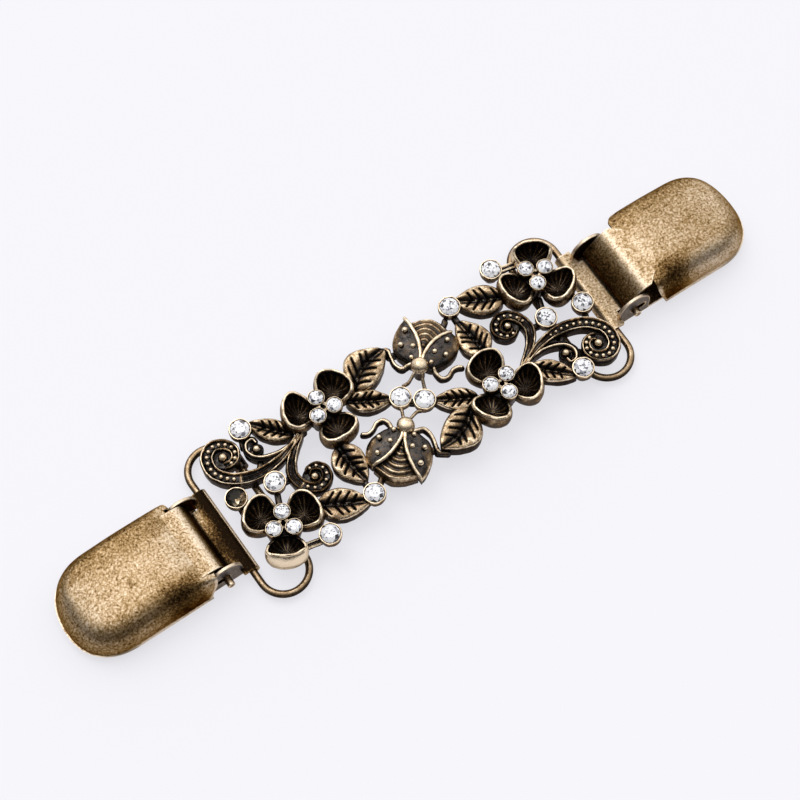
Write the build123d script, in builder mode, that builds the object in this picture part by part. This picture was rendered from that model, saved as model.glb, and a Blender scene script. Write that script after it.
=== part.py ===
from build123d import *

import os
from dataclasses import dataclass
from math import acos, atan2, cos, degrees, hypot, radians, sin, sqrt

# Scarf clip: a pierced casting of flowers, leaves, ladybirds and scrolls with set stones, and at each end
# a wire ring and a spring clip. Millimetres. +X runs along the clip and +Z up from its back, which lies on
# z = 0. The casting is the same after half a turn about Z.

# Wire, sheet and running gaps
wire_d = 1.3
sheet = 0.6
running_gap = 0.1
groove = 0.05
weld = 0.1

# Ring: a closed oval of wire, lying flat
ring_width = 9.9
ring_length = 31.6
lug_reach = 30.1

# Casting
cast_bottom = 2.3
lug_length = 2.4
lug_places = (6.8, -8.3)
lug_wall = 0.55
lug_root = 0.6

# Stones and the cups that hold them
single_r = 1.6
single_top = 6.0
flower_r = 1.22
flower_top = 7.4
stone_gap = 0.05
bezel_wall = 0.24
seat_share = 0.75
cup_share = 0.95
stem_share = 0.6
stone_sides = 12
crown_share = 0.3
girdle_share = 0.1
pavilion_share = 0.55
table_share = 0.58
culet_share = 0.12
eye_r = 0.75
eye_top = 5.3

# Clip plate
wing_half = 8.5
neck_tab_half = 5.75
ear_inner = 6.8
ear_r = 3.3
ear_top = 6.6
pin_d = 1.2
pin_reach = 4.5
pin_z = 2.9
pin_stand_out = 0.9
ear_slot = 1.3
pin_gap = 0.05
tail_lip = 1.4
wing_depth = 1.3
tab_depth = 3.35
roll_lean = 24.0
plate_corner = 0.9
nose_r = 7.8
tooth_count = 7
tooth_span = 12.0
tooth_root = 0.2
tooth_rise = 1.5
tooth_back = 4.0

# Clip cover
cover_half = 8.9
cover_start = 8.7
cover_straight = 22.2
cover_end = 31.4
cover_rim = 1.8
cover_high = 7.9
cover_back_high = 7.5
cover_tip_high = 5.4
cover_round = 2.6
cover_back_lean = 1.1
cover_crest = 5.0
cover_fall = 0.3
cover_open_back = 3.0
neck_half = 6.5
neck_lap = 0.5
neck_ridge_back = 2.2
neck_ridge_drop = 0.9
neck_ridge_round = 0.9
neck_roll_turn = 170.0

wire_r = wire_d / 2
bore_r = wire_r + running_gap
wire_z = sheet + bore_r - groove
roll_r = bore_r + sheet
ring_r = (ring_width - wire_d) / 2
ring_straight = ring_length / 2 - wire_r - ring_r
wire_reach = lug_reach + 2 * ring_r
pin_x = wire_reach + pin_reach


@dataclass(frozen=True)
class End:
    """One end of the clip, in its own frame: x outward, y across, z up."""

    name: str
    heading: float
    pull: float
    ring_slide: float
    clip_slide: float
    pin_slide: float

    def along(self):
        """Direction outward."""
        return Vector(cos(radians(self.heading)), sin(radians(self.heading)), 0)

    def across(self):
        """Direction across."""
        return Vector(-sin(radians(self.heading)), cos(radians(self.heading)), 0)

    def point(self, x, y, z):
        """A place of the end, in the whole object's frame."""
        return self.along() * (x + self.pull) + self.across() * y + Vector(0, 0, z)

    def level(self, z, slide=0.0):
        """Flat plane at height z: sketch x outward, sketch y across."""
        return Plane(origin=self.point(0, slide, z), x_dir=self.along(), z_dir=(0, 0, 1))

    def upright(self, y):
        """Upright plane at y: sketch x outward, sketch y up."""
        return Plane(origin=self.point(0, y, 0), x_dir=self.along(), z_dir=-self.across())

    def facing(self, x, slide=0.0):
        """Upright plane at x: sketch x across, sketch y up."""
        return Plane(origin=self.point(x, slide, 0), x_dir=self.across(), z_dir=self.along())


ends = (
    End("left", heading=180.0, pull=0.1, ring_slide=1.1, clip_slide=0.85, pin_slide=0.5),
    End("right", heading=-1.2, pull=-0.9, ring_slide=0.5, clip_slide=1.0, pin_slide=0.0),
)


# Stones


def cut_stone(name, x, y, top, radius):
    """A round cut stone: table, crown, girdle and pavilion, its table at height top."""
    crown_foot = top - crown_share * radius
    girdle_foot = crown_foot - girdle_share * radius
    levels = (
        (top, table_share * radius),
        (crown_foot, radius),
        (girdle_foot, radius),
        (girdle_foot - pavilion_share * radius, culet_share * radius),
    )
    with BuildPart() as stone:
        for height, size in levels:
            with BuildSketch(Plane((x, y, height))):
                RegularPolygon(size, stone_sides)
        loft(ruled=True)
    stone.part.label = name
    export_step(stone.part, f"parts/{name}.step")
    return stone.part


def bezel(x, y, top, radius):
    """The cup that holds a stone, on a thinner stem. Its seat is cut later."""
    rim = top - crown_share * radius
    outer = radius + stone_gap + bezel_wall
    cup_foot = rim - cup_share * radius
    with BuildPart() as cup:
        with BuildSketch(Plane((x, y, rim))):
            Circle(outer)
        extrude(amount=cup_foot - rim)
        with BuildSketch(Plane((x, y, cup_foot))):
            Circle(outer)
        with BuildSketch(Plane((x, y, cast_bottom))):
            Circle(outer * stem_share)
        loft()
    return cup.part


def eye_bead(x, y):
    """The round bead at the heart of a scroll."""
    with BuildPart() as bead:
        with Locations((x, y, cast_bottom)):
            Cylinder(eye_r, eye_top - cast_bottom, align=(Align.CENTER, Align.CENTER, Align.MIN))
    return bead.part


# Flowers: a place, the bearing of the first stone
flowers = {
    "outer": (-30.85, -6.78, 62.6),
    "inner": (-13.72, 6.93, 92.3),
}
flower_stone_ring = 1.945

# Single stones of one half
singles = {
    "leaf": (-27.30, 11.96),
    "middle": (-27.72, 0.60),
    "edge": (-34.64, 1.85),
    "bar": (-25.27, -12.37),
    "fork": (-15.16, -10.60),
    "centre": (-1.56, 1.34),
}


def polar(x, y, distance, bearing):
    """A place at a distance and bearing from another."""
    return x + distance * cos(radians(bearing)), y + distance * sin(radians(bearing))


def flower_stones(place):
    """The three stone places of a flower."""
    x, y, bearing = place
    return [polar(x, y, flower_stone_ring, bearing + turn) for turn in (0, 120, 240)]


# Petal: a leaning oval cup
petal_out = 4.35
petal_long = 3.85
petal_short = 2.85
petal_foot = 0.72
petal_rise = 4.4
petal_lean = 10.0
petal_wall = 0.5
petal_floor = 0.9
petal_sink = 0.4
hub_r = 3.2
hub_rise = 1.6


def petal(x, y, bearing):
    """One cup petal of a flower whose centre is at x, y."""
    px, py = polar(x, y, petal_out, bearing)
    lean = radians(petal_lean)
    up = (-sin(lean) * cos(radians(bearing)), -sin(lean) * sin(radians(bearing)), cos(lean))
    sideways = (-sin(radians(bearing)), cos(radians(bearing)), 0)
    foot = Plane(origin=(px, py, cast_bottom + petal_sink), x_dir=sideways, z_dir=up)
    with BuildPart() as cup:
        with BuildSketch(foot):
            Ellipse(petal_long * petal_foot, petal_short * petal_foot)
        with BuildSketch(foot.offset(petal_rise)):
            Ellipse(petal_long, petal_short)
        loft(ruled=True)
        with BuildSketch(foot.offset(petal_floor)):
            Ellipse(petal_long * petal_foot - petal_wall, petal_short * petal_foot - petal_wall)
        with BuildSketch(foot.offset(petal_rise)):
            Ellipse(petal_long - petal_wall, petal_short - petal_wall)
        loft(ruled=True, mode=Mode.SUBTRACT)
    return cup.part


def flower(place):
    """Three petals on a hub."""
    x, y, bearing = place
    with BuildPart() as blossom:
        with BuildSketch(Plane((x, y, cast_bottom))):
            Circle(hub_r)
        extrude(amount=hub_rise)
        for turn in (60, 180, 300):
            add(petal(x, y, bearing + turn))
    return blossom.part


# Leaves of one half: base, tip, half width, height of the top at the base and at the tip
leaves = (
    dict(base=(-20.4, 6.5), tip=(-25.5, 12.5), half=2.1, low=4.4, high=4.8),
    dict(base=(-8.4, 7.9), tip=(1.2, 11.4), half=3.4, low=4.8, high=5.5),
    dict(base=(-10.2, 6.2), tip=(-2.9, 2.2), half=2.0, low=4.6, high=4.8),
    dict(base=(-15.6, 1.5), tip=(-14.8, -7.7), half=2.8, low=4.8, high=4.4),
    dict(base=(-25.2, -6.4), tip=(-16.4, -11.2), half=2.8, low=4.8, high=4.6),
)
leaf_edge = 0.45
leaf_relief = 0.5
leaf_thick = 1.5
vein_pairs = 3
vein_width = 0.35
vein_slant = 42.0
vein_start = 0.18
vein_spread = 0.62


def leaf_outline(length, half, start=0.0):
    """A pointed oval along sketch x from start, as a face."""
    with BuildSketch() as face:
        with BuildLine():
            ThreePointArc((start, 0), (start + length / 2, half), (start + length, 0))
            ThreePointArc((start + length, 0), (start + length / 2, -half), (start, 0))
        make_face()
    return face.sketch


def leaf_veins(length, half):
    """The midrib and the slanting side veins of a leaf, as one face."""
    with BuildSketch() as face:
        with Locations((length / 2, 0)):
            Rectangle(length, vein_width)
        for pair in range(vein_pairs):
            start = length * (vein_start + vein_spread * pair / vein_pairs)
            for side in (1, -1):
                with Locations(Location((start, 0, 0), (0, 0, side * vein_slant))):
                    Rectangle(half * 2, vein_width, align=(Align.MIN, Align.CENTER))
        add(leaf_outline(length, half), mode=Mode.INTERSECT)
    return face.sketch


def leaf(base, tip, half, low, high):
    """A veined leaf with a raised edge, whose top climbs from low to high."""
    length = hypot(tip[0] - base[0], tip[1] - base[1])
    rise = high - low
    along = Vector(tip[0] - base[0], tip[1] - base[1], rise).normalized()
    side = Vector(base[1] - tip[1], tip[0] - base[0], 0).normalized()
    ground = Plane(origin=(base[0], base[1], low - leaf_relief), x_dir=along, z_dir=along.cross(side))
    run = hypot(length, rise)
    with BuildPart() as blade:
        with BuildSketch(ground):
            add(leaf_outline(run, half))
        extrude(amount=-leaf_thick)
        with BuildSketch(ground):
            add(leaf_outline(run, half))
            add(leaf_outline(run - 4 * leaf_edge, half - leaf_edge, 2 * leaf_edge), mode=Mode.SUBTRACT)
            add(leaf_veins(run, half))
        extrude(amount=leaf_relief)
    return blade.part


# Scrollwork of one half: the middle line of each band, from where it leaves the flower
scrolls = {
    "large": dict(
        line=(
            (-19.6, 5.6), (-24.2, 3.9), (-28.9, 3.6), (-32.8, 5.0), (-35.1, 7.8), (-34.8, 10.8),
            (-32.9, 12.2), (-31.1, 11.5), (-30.3, 9.7), (-31.1, 8.3), (-32.2, 8.2),
        ),
        width=2.3, top=5.0, bead_from=0.2, start_share=0.5,
    ),
    "round": dict(
        line=(
            (-19.6, 5.4), (-22.6, 3.0), (-24.2, 0.2), (-24.2, -2.4), (-22.8, -4.2), (-20.7, -4.3),
            (-19.6, -2.8), (-20.2, -1.3), (-21.4, -1.0), (-22.2, -1.7),
        ),
        width=1.5, top=4.9, bead_from=0.45, start_share=0.8,
    ),
}
curl = dict(
    line=((-20.4, 5.2), (-24.0, 4.9), (-27.2, 5.9), (-28.5, 7.8), (-27.9, 9.5), (-26.5, 9.7), (-26.3, 8.6)),
    width=0.9, top=5.0,
)
curl_eye = (-26.8, 7.7)
scroll_eyes = ((-32.5, 9.5), (-21.7, -2.4))
rail_width = 0.45
rail_rise = 0.6
bead_r = 0.3
bead_sides = 10
bead_step = 0.95
bead_rise = 0.4
widening = 0.4


def ribbon(line, near, far, start_share=1.0):
    """The strip between two offsets from a smooth line, narrower by start_share where it begins."""
    path = Spline(*line, mode=Mode.PRIVATE)
    stations = 2 * len(line)

    def side(offset):
        places = []
        for k in range(stations + 1):
            share = start_share + (1 - start_share) * min(1.0, k / stations / widening)
            place, heading = path @ (k / stations), path % (k / stations)
            places.append((place.X - heading.Y * offset * share, place.Y + heading.X * offset * share))
        return places

    with BuildSketch() as face:
        with BuildLine():
            one = Spline(*side(near))
            other = Spline(*side(far))
            Line(one @ 0, other @ 0)
            Line(one @ 1, other @ 1)
        make_face()
    return face.sketch


def raised(face, low, high):
    """A face of the casting, standing from low to high."""
    with BuildPart() as block:
        with BuildSketch(Plane((0, 0, low))):
            add(face)
        extrude(amount=high - low)
    return block.part


def scroll(line, width, top, bead_from, start_share):
    """A beaded scroll: a band with two raised rails and a row of beads between them."""
    half = width / 2
    bed = top - rail_rise
    path = Spline(*line, mode=Mode.PRIVATE)
    count = int(path.length * (1 - bead_from) / bead_step)
    with BuildSketch() as beads:
        for k in range(count):
            place = path @ (bead_from + (1 - bead_from) * (k + 0.5) / count)
            with Locations((place.X, place.Y)):
                RegularPolygon(bead_r, bead_sides)
    with BuildPart() as strip:
        add([
            raised(ribbon(line, -half, half, start_share), cast_bottom, bed),
            raised(ribbon(line, half - rail_width, half, start_share), bed - weld, top),
            raised(ribbon(line, rail_width - half, -half, start_share), bed - weld, top),
            raised(beads.sketch, bed - weld, bed + bead_rise),
        ])
    return strip.part


# Ladybird of one half: the head, and the bearing of the tail from it
ladybird_head = (-4.1, -3.9)
ladybird_bearing = 228.0
head_r = 1.45
head_top = 8.0
neck_r = 1.2
body_reach = 5.9
body_long = 4.3
body_wide = 3.3
body_top = 5.8
body_taper = 18
wing_long = 4.6
wing_wide = 2.5
wing_top = 6.6
wing_low = 3.3
wing_taper = 12
wing_turn_share = 0.6
wing_spread = 36.0
wing_reach = 5.1
spot_r = 0.5
spot_rise = 0.35
wing_spots = ((1.9, 0.2), (0.2, 1.2), (0.0, -1.0), (-2.2, 0.3))
leg_width = 0.8
leg_top = 4.6
legs = (
    ((-5.0, -2.6), (-4.4, -1.4), (-6.2, -0.5), (-8.6, -0.8), (-10.6, 0.2)),
    ((-3.2, -4.6), (-1.6, -5.2), (-0.9, -6.6), (-1.5, -8.4), (-1.6, -9.8)),
)
feelers = (((-4.0, -3.6), (-3.3, -2.2), (-2.6, 0.2)), ((-3.8, -3.8), (-2.0, -3.2), (-0.6, -2.6)))
feeler_top = 6.4


def strand(line, width, top):
    """A flat-topped strand of the casting along a line."""
    return raised(ribbon(line, -width / 2, width / 2), cast_bottom, top)


def ladybird():
    """A ladybird with spread wing cases, its head towards the middle of the clip."""
    x, y = ladybird_head
    body_x, body_y = polar(x, y, body_reach, ladybird_bearing)
    with BuildPart() as insect:
        with BuildSketch(Plane((body_x, body_y, cast_bottom))):
            Ellipse(body_long, body_wide, rotation=ladybird_bearing)
        extrude(amount=body_top - cast_bottom, taper=body_taper)
        for side in (1, -1):
            bearing = ladybird_bearing + side * wing_spread
            wing_x, wing_y = polar(x, y, wing_reach, bearing)
            turn = ladybird_bearing + side * wing_spread * wing_turn_share
            with BuildSketch(Plane((wing_x, wing_y, wing_low))):
                Ellipse(wing_long, wing_wide, rotation=turn)
            extrude(amount=wing_top - wing_low, taper=wing_taper)
            with BuildSketch(Plane((wing_x, wing_y, wing_top - weld))):
                for along, over in wing_spots:
                    sx, sy = polar(0, 0, along, turn)
                    sx, sy = polar(sx, sy, over * side, turn + 90)
                    with Locations((sx, sy)):
                        RegularPolygon(spot_r, bead_sides)
            extrude(amount=spot_rise)
        with Locations((x, y, head_top - head_r)):
            Sphere(head_r)
        with Locations((x, y, cast_bottom)):
            Cylinder(neck_r, head_top - head_r - cast_bottom, align=(Align.CENTER, Align.CENTER, Align.MIN))
    return insect.part


# Links of one half: plain bars that tie the motifs together
links = (
    ((-30.85, -6.78), (-27.72, 0.60)),
    ((-27.72, 0.60), (-24.2, 0.2)),
    ((-33.0, -3.2), (-34.64, 1.85)),
    ((-34.64, 1.85), (-33.2, 4.9)),
    ((-30.85, -9.0), (-25.27, -12.37)),
    ((-25.6, 11.5), (-27.30, 11.96)),
    ((-27.3, 11.96), (-28.0, 9.4)),
    ((-15.4, -7.2), (-15.16, -10.60)),
    ((-16.8, -11.0), (-15.16, -10.60)),
    ((-19.9, 5.6), (-13.72, 6.93)),
    ((-12.0, -4.4), (-15.2, -4.6)),
    ((-1.56, 1.34), (1.56, -1.34)),
    ((-1.56, 1.34), (-3.2, 2.4)),
    ((-1.6, -9.4), (-4.2, -8.6)),
    ((-10.6, 0.2), (-12.2, 3.2)),
    ((-27.2, 5.9), (-28.9, 3.6)),
    ((-26.8, 7.7), (-28.4, 7.7)),
)
link_width = 1.3
link_top = 4.0


def link(start, end):
    """A bar from one place to another."""
    length = hypot(end[0] - start[0], end[1] - start[1])
    bearing = degrees(atan2(end[1] - start[1], end[0] - start[0]))
    with BuildPart() as bar:
        with BuildSketch(Plane(origin=(start[0], start[1], cast_bottom))):
            with Locations(Location((0, 0, 0), (0, 0, bearing))):
                Rectangle(length, link_width, align=(Align.MIN, Align.CENTER))
        extrude(amount=link_top - cast_bottom)
    return bar.part


def lug(end, y):
    """A closed eye under the casting that holds a ring's inner bar."""
    outer = bore_r + lug_wall
    block = end.upright(y)
    with BuildPart() as eye:
        with BuildSketch(block):
            with Locations((lug_reach, wire_z)):
                Circle(outer)
            with Locations((lug_reach, wire_z)):
                Rectangle(2 * outer, cast_bottom + lug_root - wire_z, align=(Align.CENTER, Align.MIN))
        extrude(amount=lug_length / 2, both=True)
        with BuildSketch(block):
            with Locations((lug_reach, wire_z)):
                Circle(bore_r)
        extrude(amount=lug_length, both=True, mode=Mode.SUBTRACT)
    return eye.part


def cup_seats(places, top, radius):
    """The seats sunk into the cups of stones of one size."""
    with BuildPart() as seats:
        with Locations([(x, y, top - crown_share * radius) for x, y in places]):
            Cylinder(radius + stone_gap, seat_share * radius, align=(Align.CENTER, Align.CENTER, Align.MAX))
    return seats.part


def half_casting():
    """One half of the casting, with its seats cut."""
    trio_places = [spot for place in flowers.values() for spot in flower_stones(place)]
    pieces = [flower(place) for place in flowers.values()]
    pieces += [leaf(**row) for row in leaves]
    pieces += [scroll(**row) for row in scrolls.values()]
    pieces += [strand(**curl), ladybird()]
    pieces += [strand(line, leg_width, leg_top) for line in legs]
    pieces += [strand(line, leg_width, feeler_top) for line in feelers]
    pieces += [link(start, end) for start, end in links]
    pieces += [eye_bead(x, y) for x, y in scroll_eyes + (curl_eye,)]
    pieces += [bezel(x, y, flower_top, flower_r) for x, y in trio_places]
    pieces += [bezel(x, y, single_top, single_r) for x, y in singles.values()]
    with BuildPart() as half:
        add(pieces)
        add(cup_seats(trio_places, flower_top, flower_r), mode=Mode.SUBTRACT)
        add(cup_seats(singles.values(), single_top, single_r), mode=Mode.SUBTRACT)
    return half.part


def make_ornament():
    """The whole casting: two equal halves, half a turn apart, and the lugs on its back."""
    half = half_casting()
    with BuildPart() as other:
        add(half, rotation=(0, 0, 180))
    with BuildPart() as ornament:
        add([half, other.part] + [lug(end, y) for end in ends for y in lug_places])
    ornament.part.label = "ornament"
    export_step(ornament.part, "parts/ornament.step")
    return ornament.part


def make_stones():
    """Every stone of the casting."""
    for half_turn, half_name in ((1, "left"), (-1, "right")):
        for key, (x, y) in singles.items():
            cut_stone(f"stone_{half_name}_{key}", x * half_turn, y * half_turn, single_top, single_r)
        for key, place in flowers.items():
            for n, (x, y) in enumerate(flower_stones(place), 1):
                cut_stone(f"stone_{half_name}_{key}_{n}", x * half_turn, y * half_turn, flower_top, flower_r)


# Ends


def make_ring(end):
    """The oval wire ring: two straight bars and two round ends."""
    with BuildPart() as ring:
        flat = end.level(wire_z, end.ring_slide)
        with BuildLine(flat) as path:
            Line((lug_reach, -ring_straight), (lug_reach, ring_straight))
            ThreePointArc(
                (lug_reach, ring_straight),
                (lug_reach + ring_r, ring_straight + ring_r),
                (wire_reach, ring_straight),
            )
            Line((wire_reach, ring_straight), (wire_reach, -ring_straight))
            ThreePointArc(
                (wire_reach, -ring_straight),
                (lug_reach + ring_r, -ring_straight - ring_r),
                (lug_reach, -ring_straight),
            )
        with BuildSketch(end.upright(end.ring_slide - ring_straight)):
            with Locations((lug_reach, wire_z)):
                Circle(wire_r)
        sweep(path=path.wires()[0])
    name = f"ring_{end.name}"
    ring.part.label = name
    export_step(ring.part, f"parts/{name}.step")
    return ring.part


def make_clip_base(end):
    """The stamped plate: nose with teeth, ears with slots, and a tail rolled over the ring's wire."""
    slide = end.clip_slide
    ear_outer = ear_inner + sheet
    nose_x = wire_reach + cover_straight
    tab_end = wire_reach + tab_depth
    wing_end = wire_reach + wing_depth
    with BuildPart() as base:
        with BuildSketch(end.level(0, slide)):
            tail_x = wire_reach - tail_lip
            with Locations((tail_x, 0)):
                RectangleRounded(
                    nose_x - tail_x, 2 * ear_outer, plate_corner, align=(Align.MIN, Align.CENTER),
                )
            with Locations((nose_x, 0)):
                Circle(nose_r)
        extrude(amount=sheet)
        with BuildSketch(end.upright(slide)):
            with BuildLine():
                crest = (
                    wire_reach + roll_r * sin(radians(roll_lean)), wire_z + roll_r * cos(radians(roll_lean)),
                )
                ThreePointArc(
                    (wire_reach - roll_r, wire_z),
                    (wire_reach - roll_r * sqrt(0.5), wire_z + roll_r * sqrt(0.5)),
                    crest,
                )
                Polyline(
                    crest, (tab_end, 2 * sheet), (tab_end, sheet - weld), (wire_reach - roll_r, sheet - weld),
                    (wire_reach - roll_r, wire_z),
                )
            make_face()
        extrude(amount=wing_half, both=True)
        for side in (1, -1):
            with BuildSketch(end.level(sheet, slide)):
                with Locations((wing_end, side * neck_tab_half)):
                    Rectangle(
                        tab_depth, wing_half,
                        align=(Align.MIN, Align.MIN if side > 0 else Align.MAX),
                    )
            extrude(amount=roll_r * 2, mode=Mode.SUBTRACT)
        for side in (1, -1):
            with BuildSketch(end.upright(slide + side * (ear_inner + sheet / 2))):
                with Locations((pin_x, ear_top - ear_r)):
                    Circle(ear_r)
                with Locations((pin_x, 0)):
                    Rectangle(2 * ear_r, ear_top - ear_r, align=(Align.CENTER, Align.MIN))
            extrude(amount=sheet / 2, both=True)
        with BuildSketch(end.upright(slide)):
            with Locations((pin_x, pin_z)):
                Circle(pin_d / 2 + pin_gap)
            with Locations((pin_x + ear_slot / 2, pin_z)):
                SlotCenterToCenter(ear_slot, pin_d + 2 * pin_gap)
            with Locations((wire_reach, wire_z)):
                Circle(bore_r)
        extrude(amount=2 * wing_half, both=True, mode=Mode.SUBTRACT)
        tooth_pitch = tooth_span / tooth_count
        with BuildSketch(end.facing(nose_x + nose_r - tooth_back, slide)):
            for n in range(tooth_count):
                middle = (n - (tooth_count - 1) / 2) * tooth_pitch
                with BuildLine():
                    Polyline(
                        (middle - tooth_pitch / 2, sheet - weld), (middle + tooth_pitch / 2, sheet - weld),
                        (middle + tooth_pitch / 2, sheet + tooth_root), (middle, sheet + tooth_rise),
                        (middle - tooth_pitch / 2, sheet + tooth_root), close=True,
                    )
                make_face()
        extrude(amount=sheet)
    name = f"clip_base_{end.name}"
    base.part.label = name
    export_step(base.part, f"parts/{name}.step")
    return base.part


def cover_block(end, inset):
    """The cover's outer form, or its hollow when inset by the sheet: a dome with rounded shoulders."""
    slide = end.clip_slide
    start = wire_reach + cover_start
    straight = wire_reach + cover_straight
    reach = wire_reach + cover_end - inset
    half = cover_half - inset
    back = start - (cover_open_back if inset else 0.0)
    with BuildPart() as block:
        with BuildSketch(end.upright(slide)):
            with BuildLine():
                Spline(
                    (back, cover_back_high - inset),
                    (start + cover_crest, cover_high - inset),
                    (straight, cover_high - inset - cover_fall),
                    (reach, cover_tip_high - inset),
                )
                Polyline(
                    (reach, cover_tip_high - inset), (reach, cover_rim - inset),
                    (back, cover_rim - inset), (back, cover_back_high - inset),
                )
            make_face()
        extrude(amount=2 * half, both=True)
        with BuildSketch(end.level(0, slide)):
            with Locations(((back + straight) / 2, 0)):
                Rectangle(straight - back, 2 * half)
            with Locations((straight, 0)):
                Ellipse(reach - straight, half)
        extrude(amount=2 * cover_high, mode=Mode.INTERSECT)
        crown = block.edges().filter_by(lambda e: e.center().Z > cover_tip_high / 2 and e.length > sheet * 3)
        crown = crown.filter_by(lambda e: e.center().dot(end.along()) - end.pull > back + sheet)
        fillet(crown, cover_round - inset)
    return block.part


def make_clip_cover(end):
    """The domed cover with its rolled neck, the clip's lever."""
    slide = end.clip_slide
    start = wire_reach + cover_start
    outside = cover_block(end, 0.0)
    hollow = cover_block(end, sheet)
    with BuildPart() as cover:
        add(outside)
        add(hollow, mode=Mode.SUBTRACT)
        with BuildSketch(end.upright(slide)):
            with BuildLine():
                Polyline(
                    (start - cover_open_back, 0), (start + cover_back_lean, 0),
                    (start, cover_back_high - cover_round),
                    (start - cover_open_back, cover_back_high - cover_round), close=True,
                )
            make_face()
        extrude(amount=2 * cover_half, both=True, mode=Mode.SUBTRACT)
        with BuildSketch(end.upright(slide)):
            add(neck_face())
        extrude(amount=neck_half, both=True)
    name = f"clip_cover_{end.name}"
    cover.part.label = name
    export_step(cover.part, f"parts/{name}.step")
    return cover.part


def neck_face():
    """The neck's side shape: back from the cover to a ridge, down, and in a roll round the pin."""
    roll = pin_d / 2 + running_gap + sheet / 2
    top = (wire_reach + cover_start + neck_lap, cover_back_high - sheet / 2)
    ridge = (top[0] - neck_lap - neck_ridge_back, top[1] - neck_ridge_drop)
    reach = hypot(ridge[0] - pin_x, ridge[1] - pin_z)
    touch = degrees(atan2(ridge[1] - pin_z, ridge[0] - pin_x)) + degrees(acos(roll / reach))
    meet = (pin_x + roll * cos(radians(touch)), pin_z + roll * sin(radians(touch)))
    with BuildSketch() as face:
        with BuildLine() as path:
            FilletPolyline(top, ridge, meet, radius=neck_ridge_round)
            CenterArc((pin_x, pin_z), roll, touch, neck_roll_turn)
        trace(path.line, sheet)
    return face.sketch


def make_hinge_pin(end):
    """The pin through both ears and the rolled neck."""
    half = ear_inner + sheet + pin_stand_out
    with BuildPart() as pin:
        with BuildSketch(end.upright(end.clip_slide + end.pin_slide)):
            with Locations((pin_x, pin_z)):
                Circle(pin_d / 2)
        extrude(amount=half, both=True)
    name = f"hinge_pin_{end.name}"
    pin.part.label = name
    export_step(pin.part, f"parts/{name}.step")
    return pin.part


if __name__ == "__main__":
    os.makedirs("parts", exist_ok=True)
    make_ornament()
    make_stones()
    for end in ends:
        make_ring(end)
        make_clip_base(end)
        make_clip_cover(end)
        make_hinge_pin(end)
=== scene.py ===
"""Dresses the scarf clip: a blackened, polished brass casting with stones, between two spring clips.

Sizes are in millimetres while a piece is shaped, and in metres once it is a Blender mesh.
"""

from __future__ import annotations

import logging
import math
from collections.abc import Callable, Sequence
from dataclasses import dataclass, field
from enum import Enum

import bmesh
import bpy
import numpy as np
from mathutils import Matrix, Vector

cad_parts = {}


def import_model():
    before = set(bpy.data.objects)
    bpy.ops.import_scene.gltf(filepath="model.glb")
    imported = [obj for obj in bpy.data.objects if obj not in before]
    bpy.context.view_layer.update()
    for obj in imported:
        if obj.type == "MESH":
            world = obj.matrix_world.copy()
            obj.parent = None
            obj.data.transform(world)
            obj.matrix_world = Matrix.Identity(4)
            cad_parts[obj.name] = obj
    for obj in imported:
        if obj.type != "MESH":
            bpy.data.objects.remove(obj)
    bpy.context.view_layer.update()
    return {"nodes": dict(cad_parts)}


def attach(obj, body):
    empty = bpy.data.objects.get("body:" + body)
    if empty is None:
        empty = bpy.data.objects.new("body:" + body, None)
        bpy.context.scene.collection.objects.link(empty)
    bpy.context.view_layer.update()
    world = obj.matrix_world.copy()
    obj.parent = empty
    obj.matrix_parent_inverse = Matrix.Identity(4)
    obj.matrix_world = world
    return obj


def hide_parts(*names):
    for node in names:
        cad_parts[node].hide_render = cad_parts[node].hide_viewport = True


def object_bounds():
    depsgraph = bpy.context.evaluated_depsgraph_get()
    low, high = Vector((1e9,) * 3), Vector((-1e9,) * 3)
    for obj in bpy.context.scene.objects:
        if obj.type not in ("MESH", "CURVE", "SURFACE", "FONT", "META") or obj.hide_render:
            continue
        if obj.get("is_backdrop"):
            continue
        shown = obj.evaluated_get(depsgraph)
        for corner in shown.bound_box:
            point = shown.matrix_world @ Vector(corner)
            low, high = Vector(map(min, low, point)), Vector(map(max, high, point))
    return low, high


LOG = logging.getLogger("scarf_clip")
MM = 0.001
# The stored per-point value: real wear and blackening, and in places painted light and shade.
WEAR_AND_PAINTED_LIGHT = "wear"
# The stored per-face value: how bright each stone facet is painted, standing for the light it reflects.
PAINTED_FACET_LIGHT = "painted_facets"
MERGE_GAP = 2e-7
FLAT_EDGE = 1e-7
SHARP_ANGLE = 40.0
TINY = 1e-6
Field = Callable[[np.ndarray, np.ndarray], np.ndarray]
Spot = tuple[float, float]
Triple = tuple[float, float, float]
Plan = tuple[Spot, ...]
Link = tuple[Spot, Spot, float]


class Slot(Enum):
    """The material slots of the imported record."""

    CASTING = "antique_brass"
    WIRE = "antique_wire"
    PLATE = "antique_plate"
    STONE = "clear_stone"


# ---- Shader maths


def set_stops(made: bpy.types.Node, stops: Sequence[tuple[float, Triple]]) -> None:
    """Gives a colour ramp its stops."""
    elements = made.color_ramp.elements
    while len(elements) < len(stops):
        elements.new(0.5)
    for element, (place, colour) in zip(elements, stops):
        element.position = place
        element.color = (*colour, 1.0)


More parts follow.
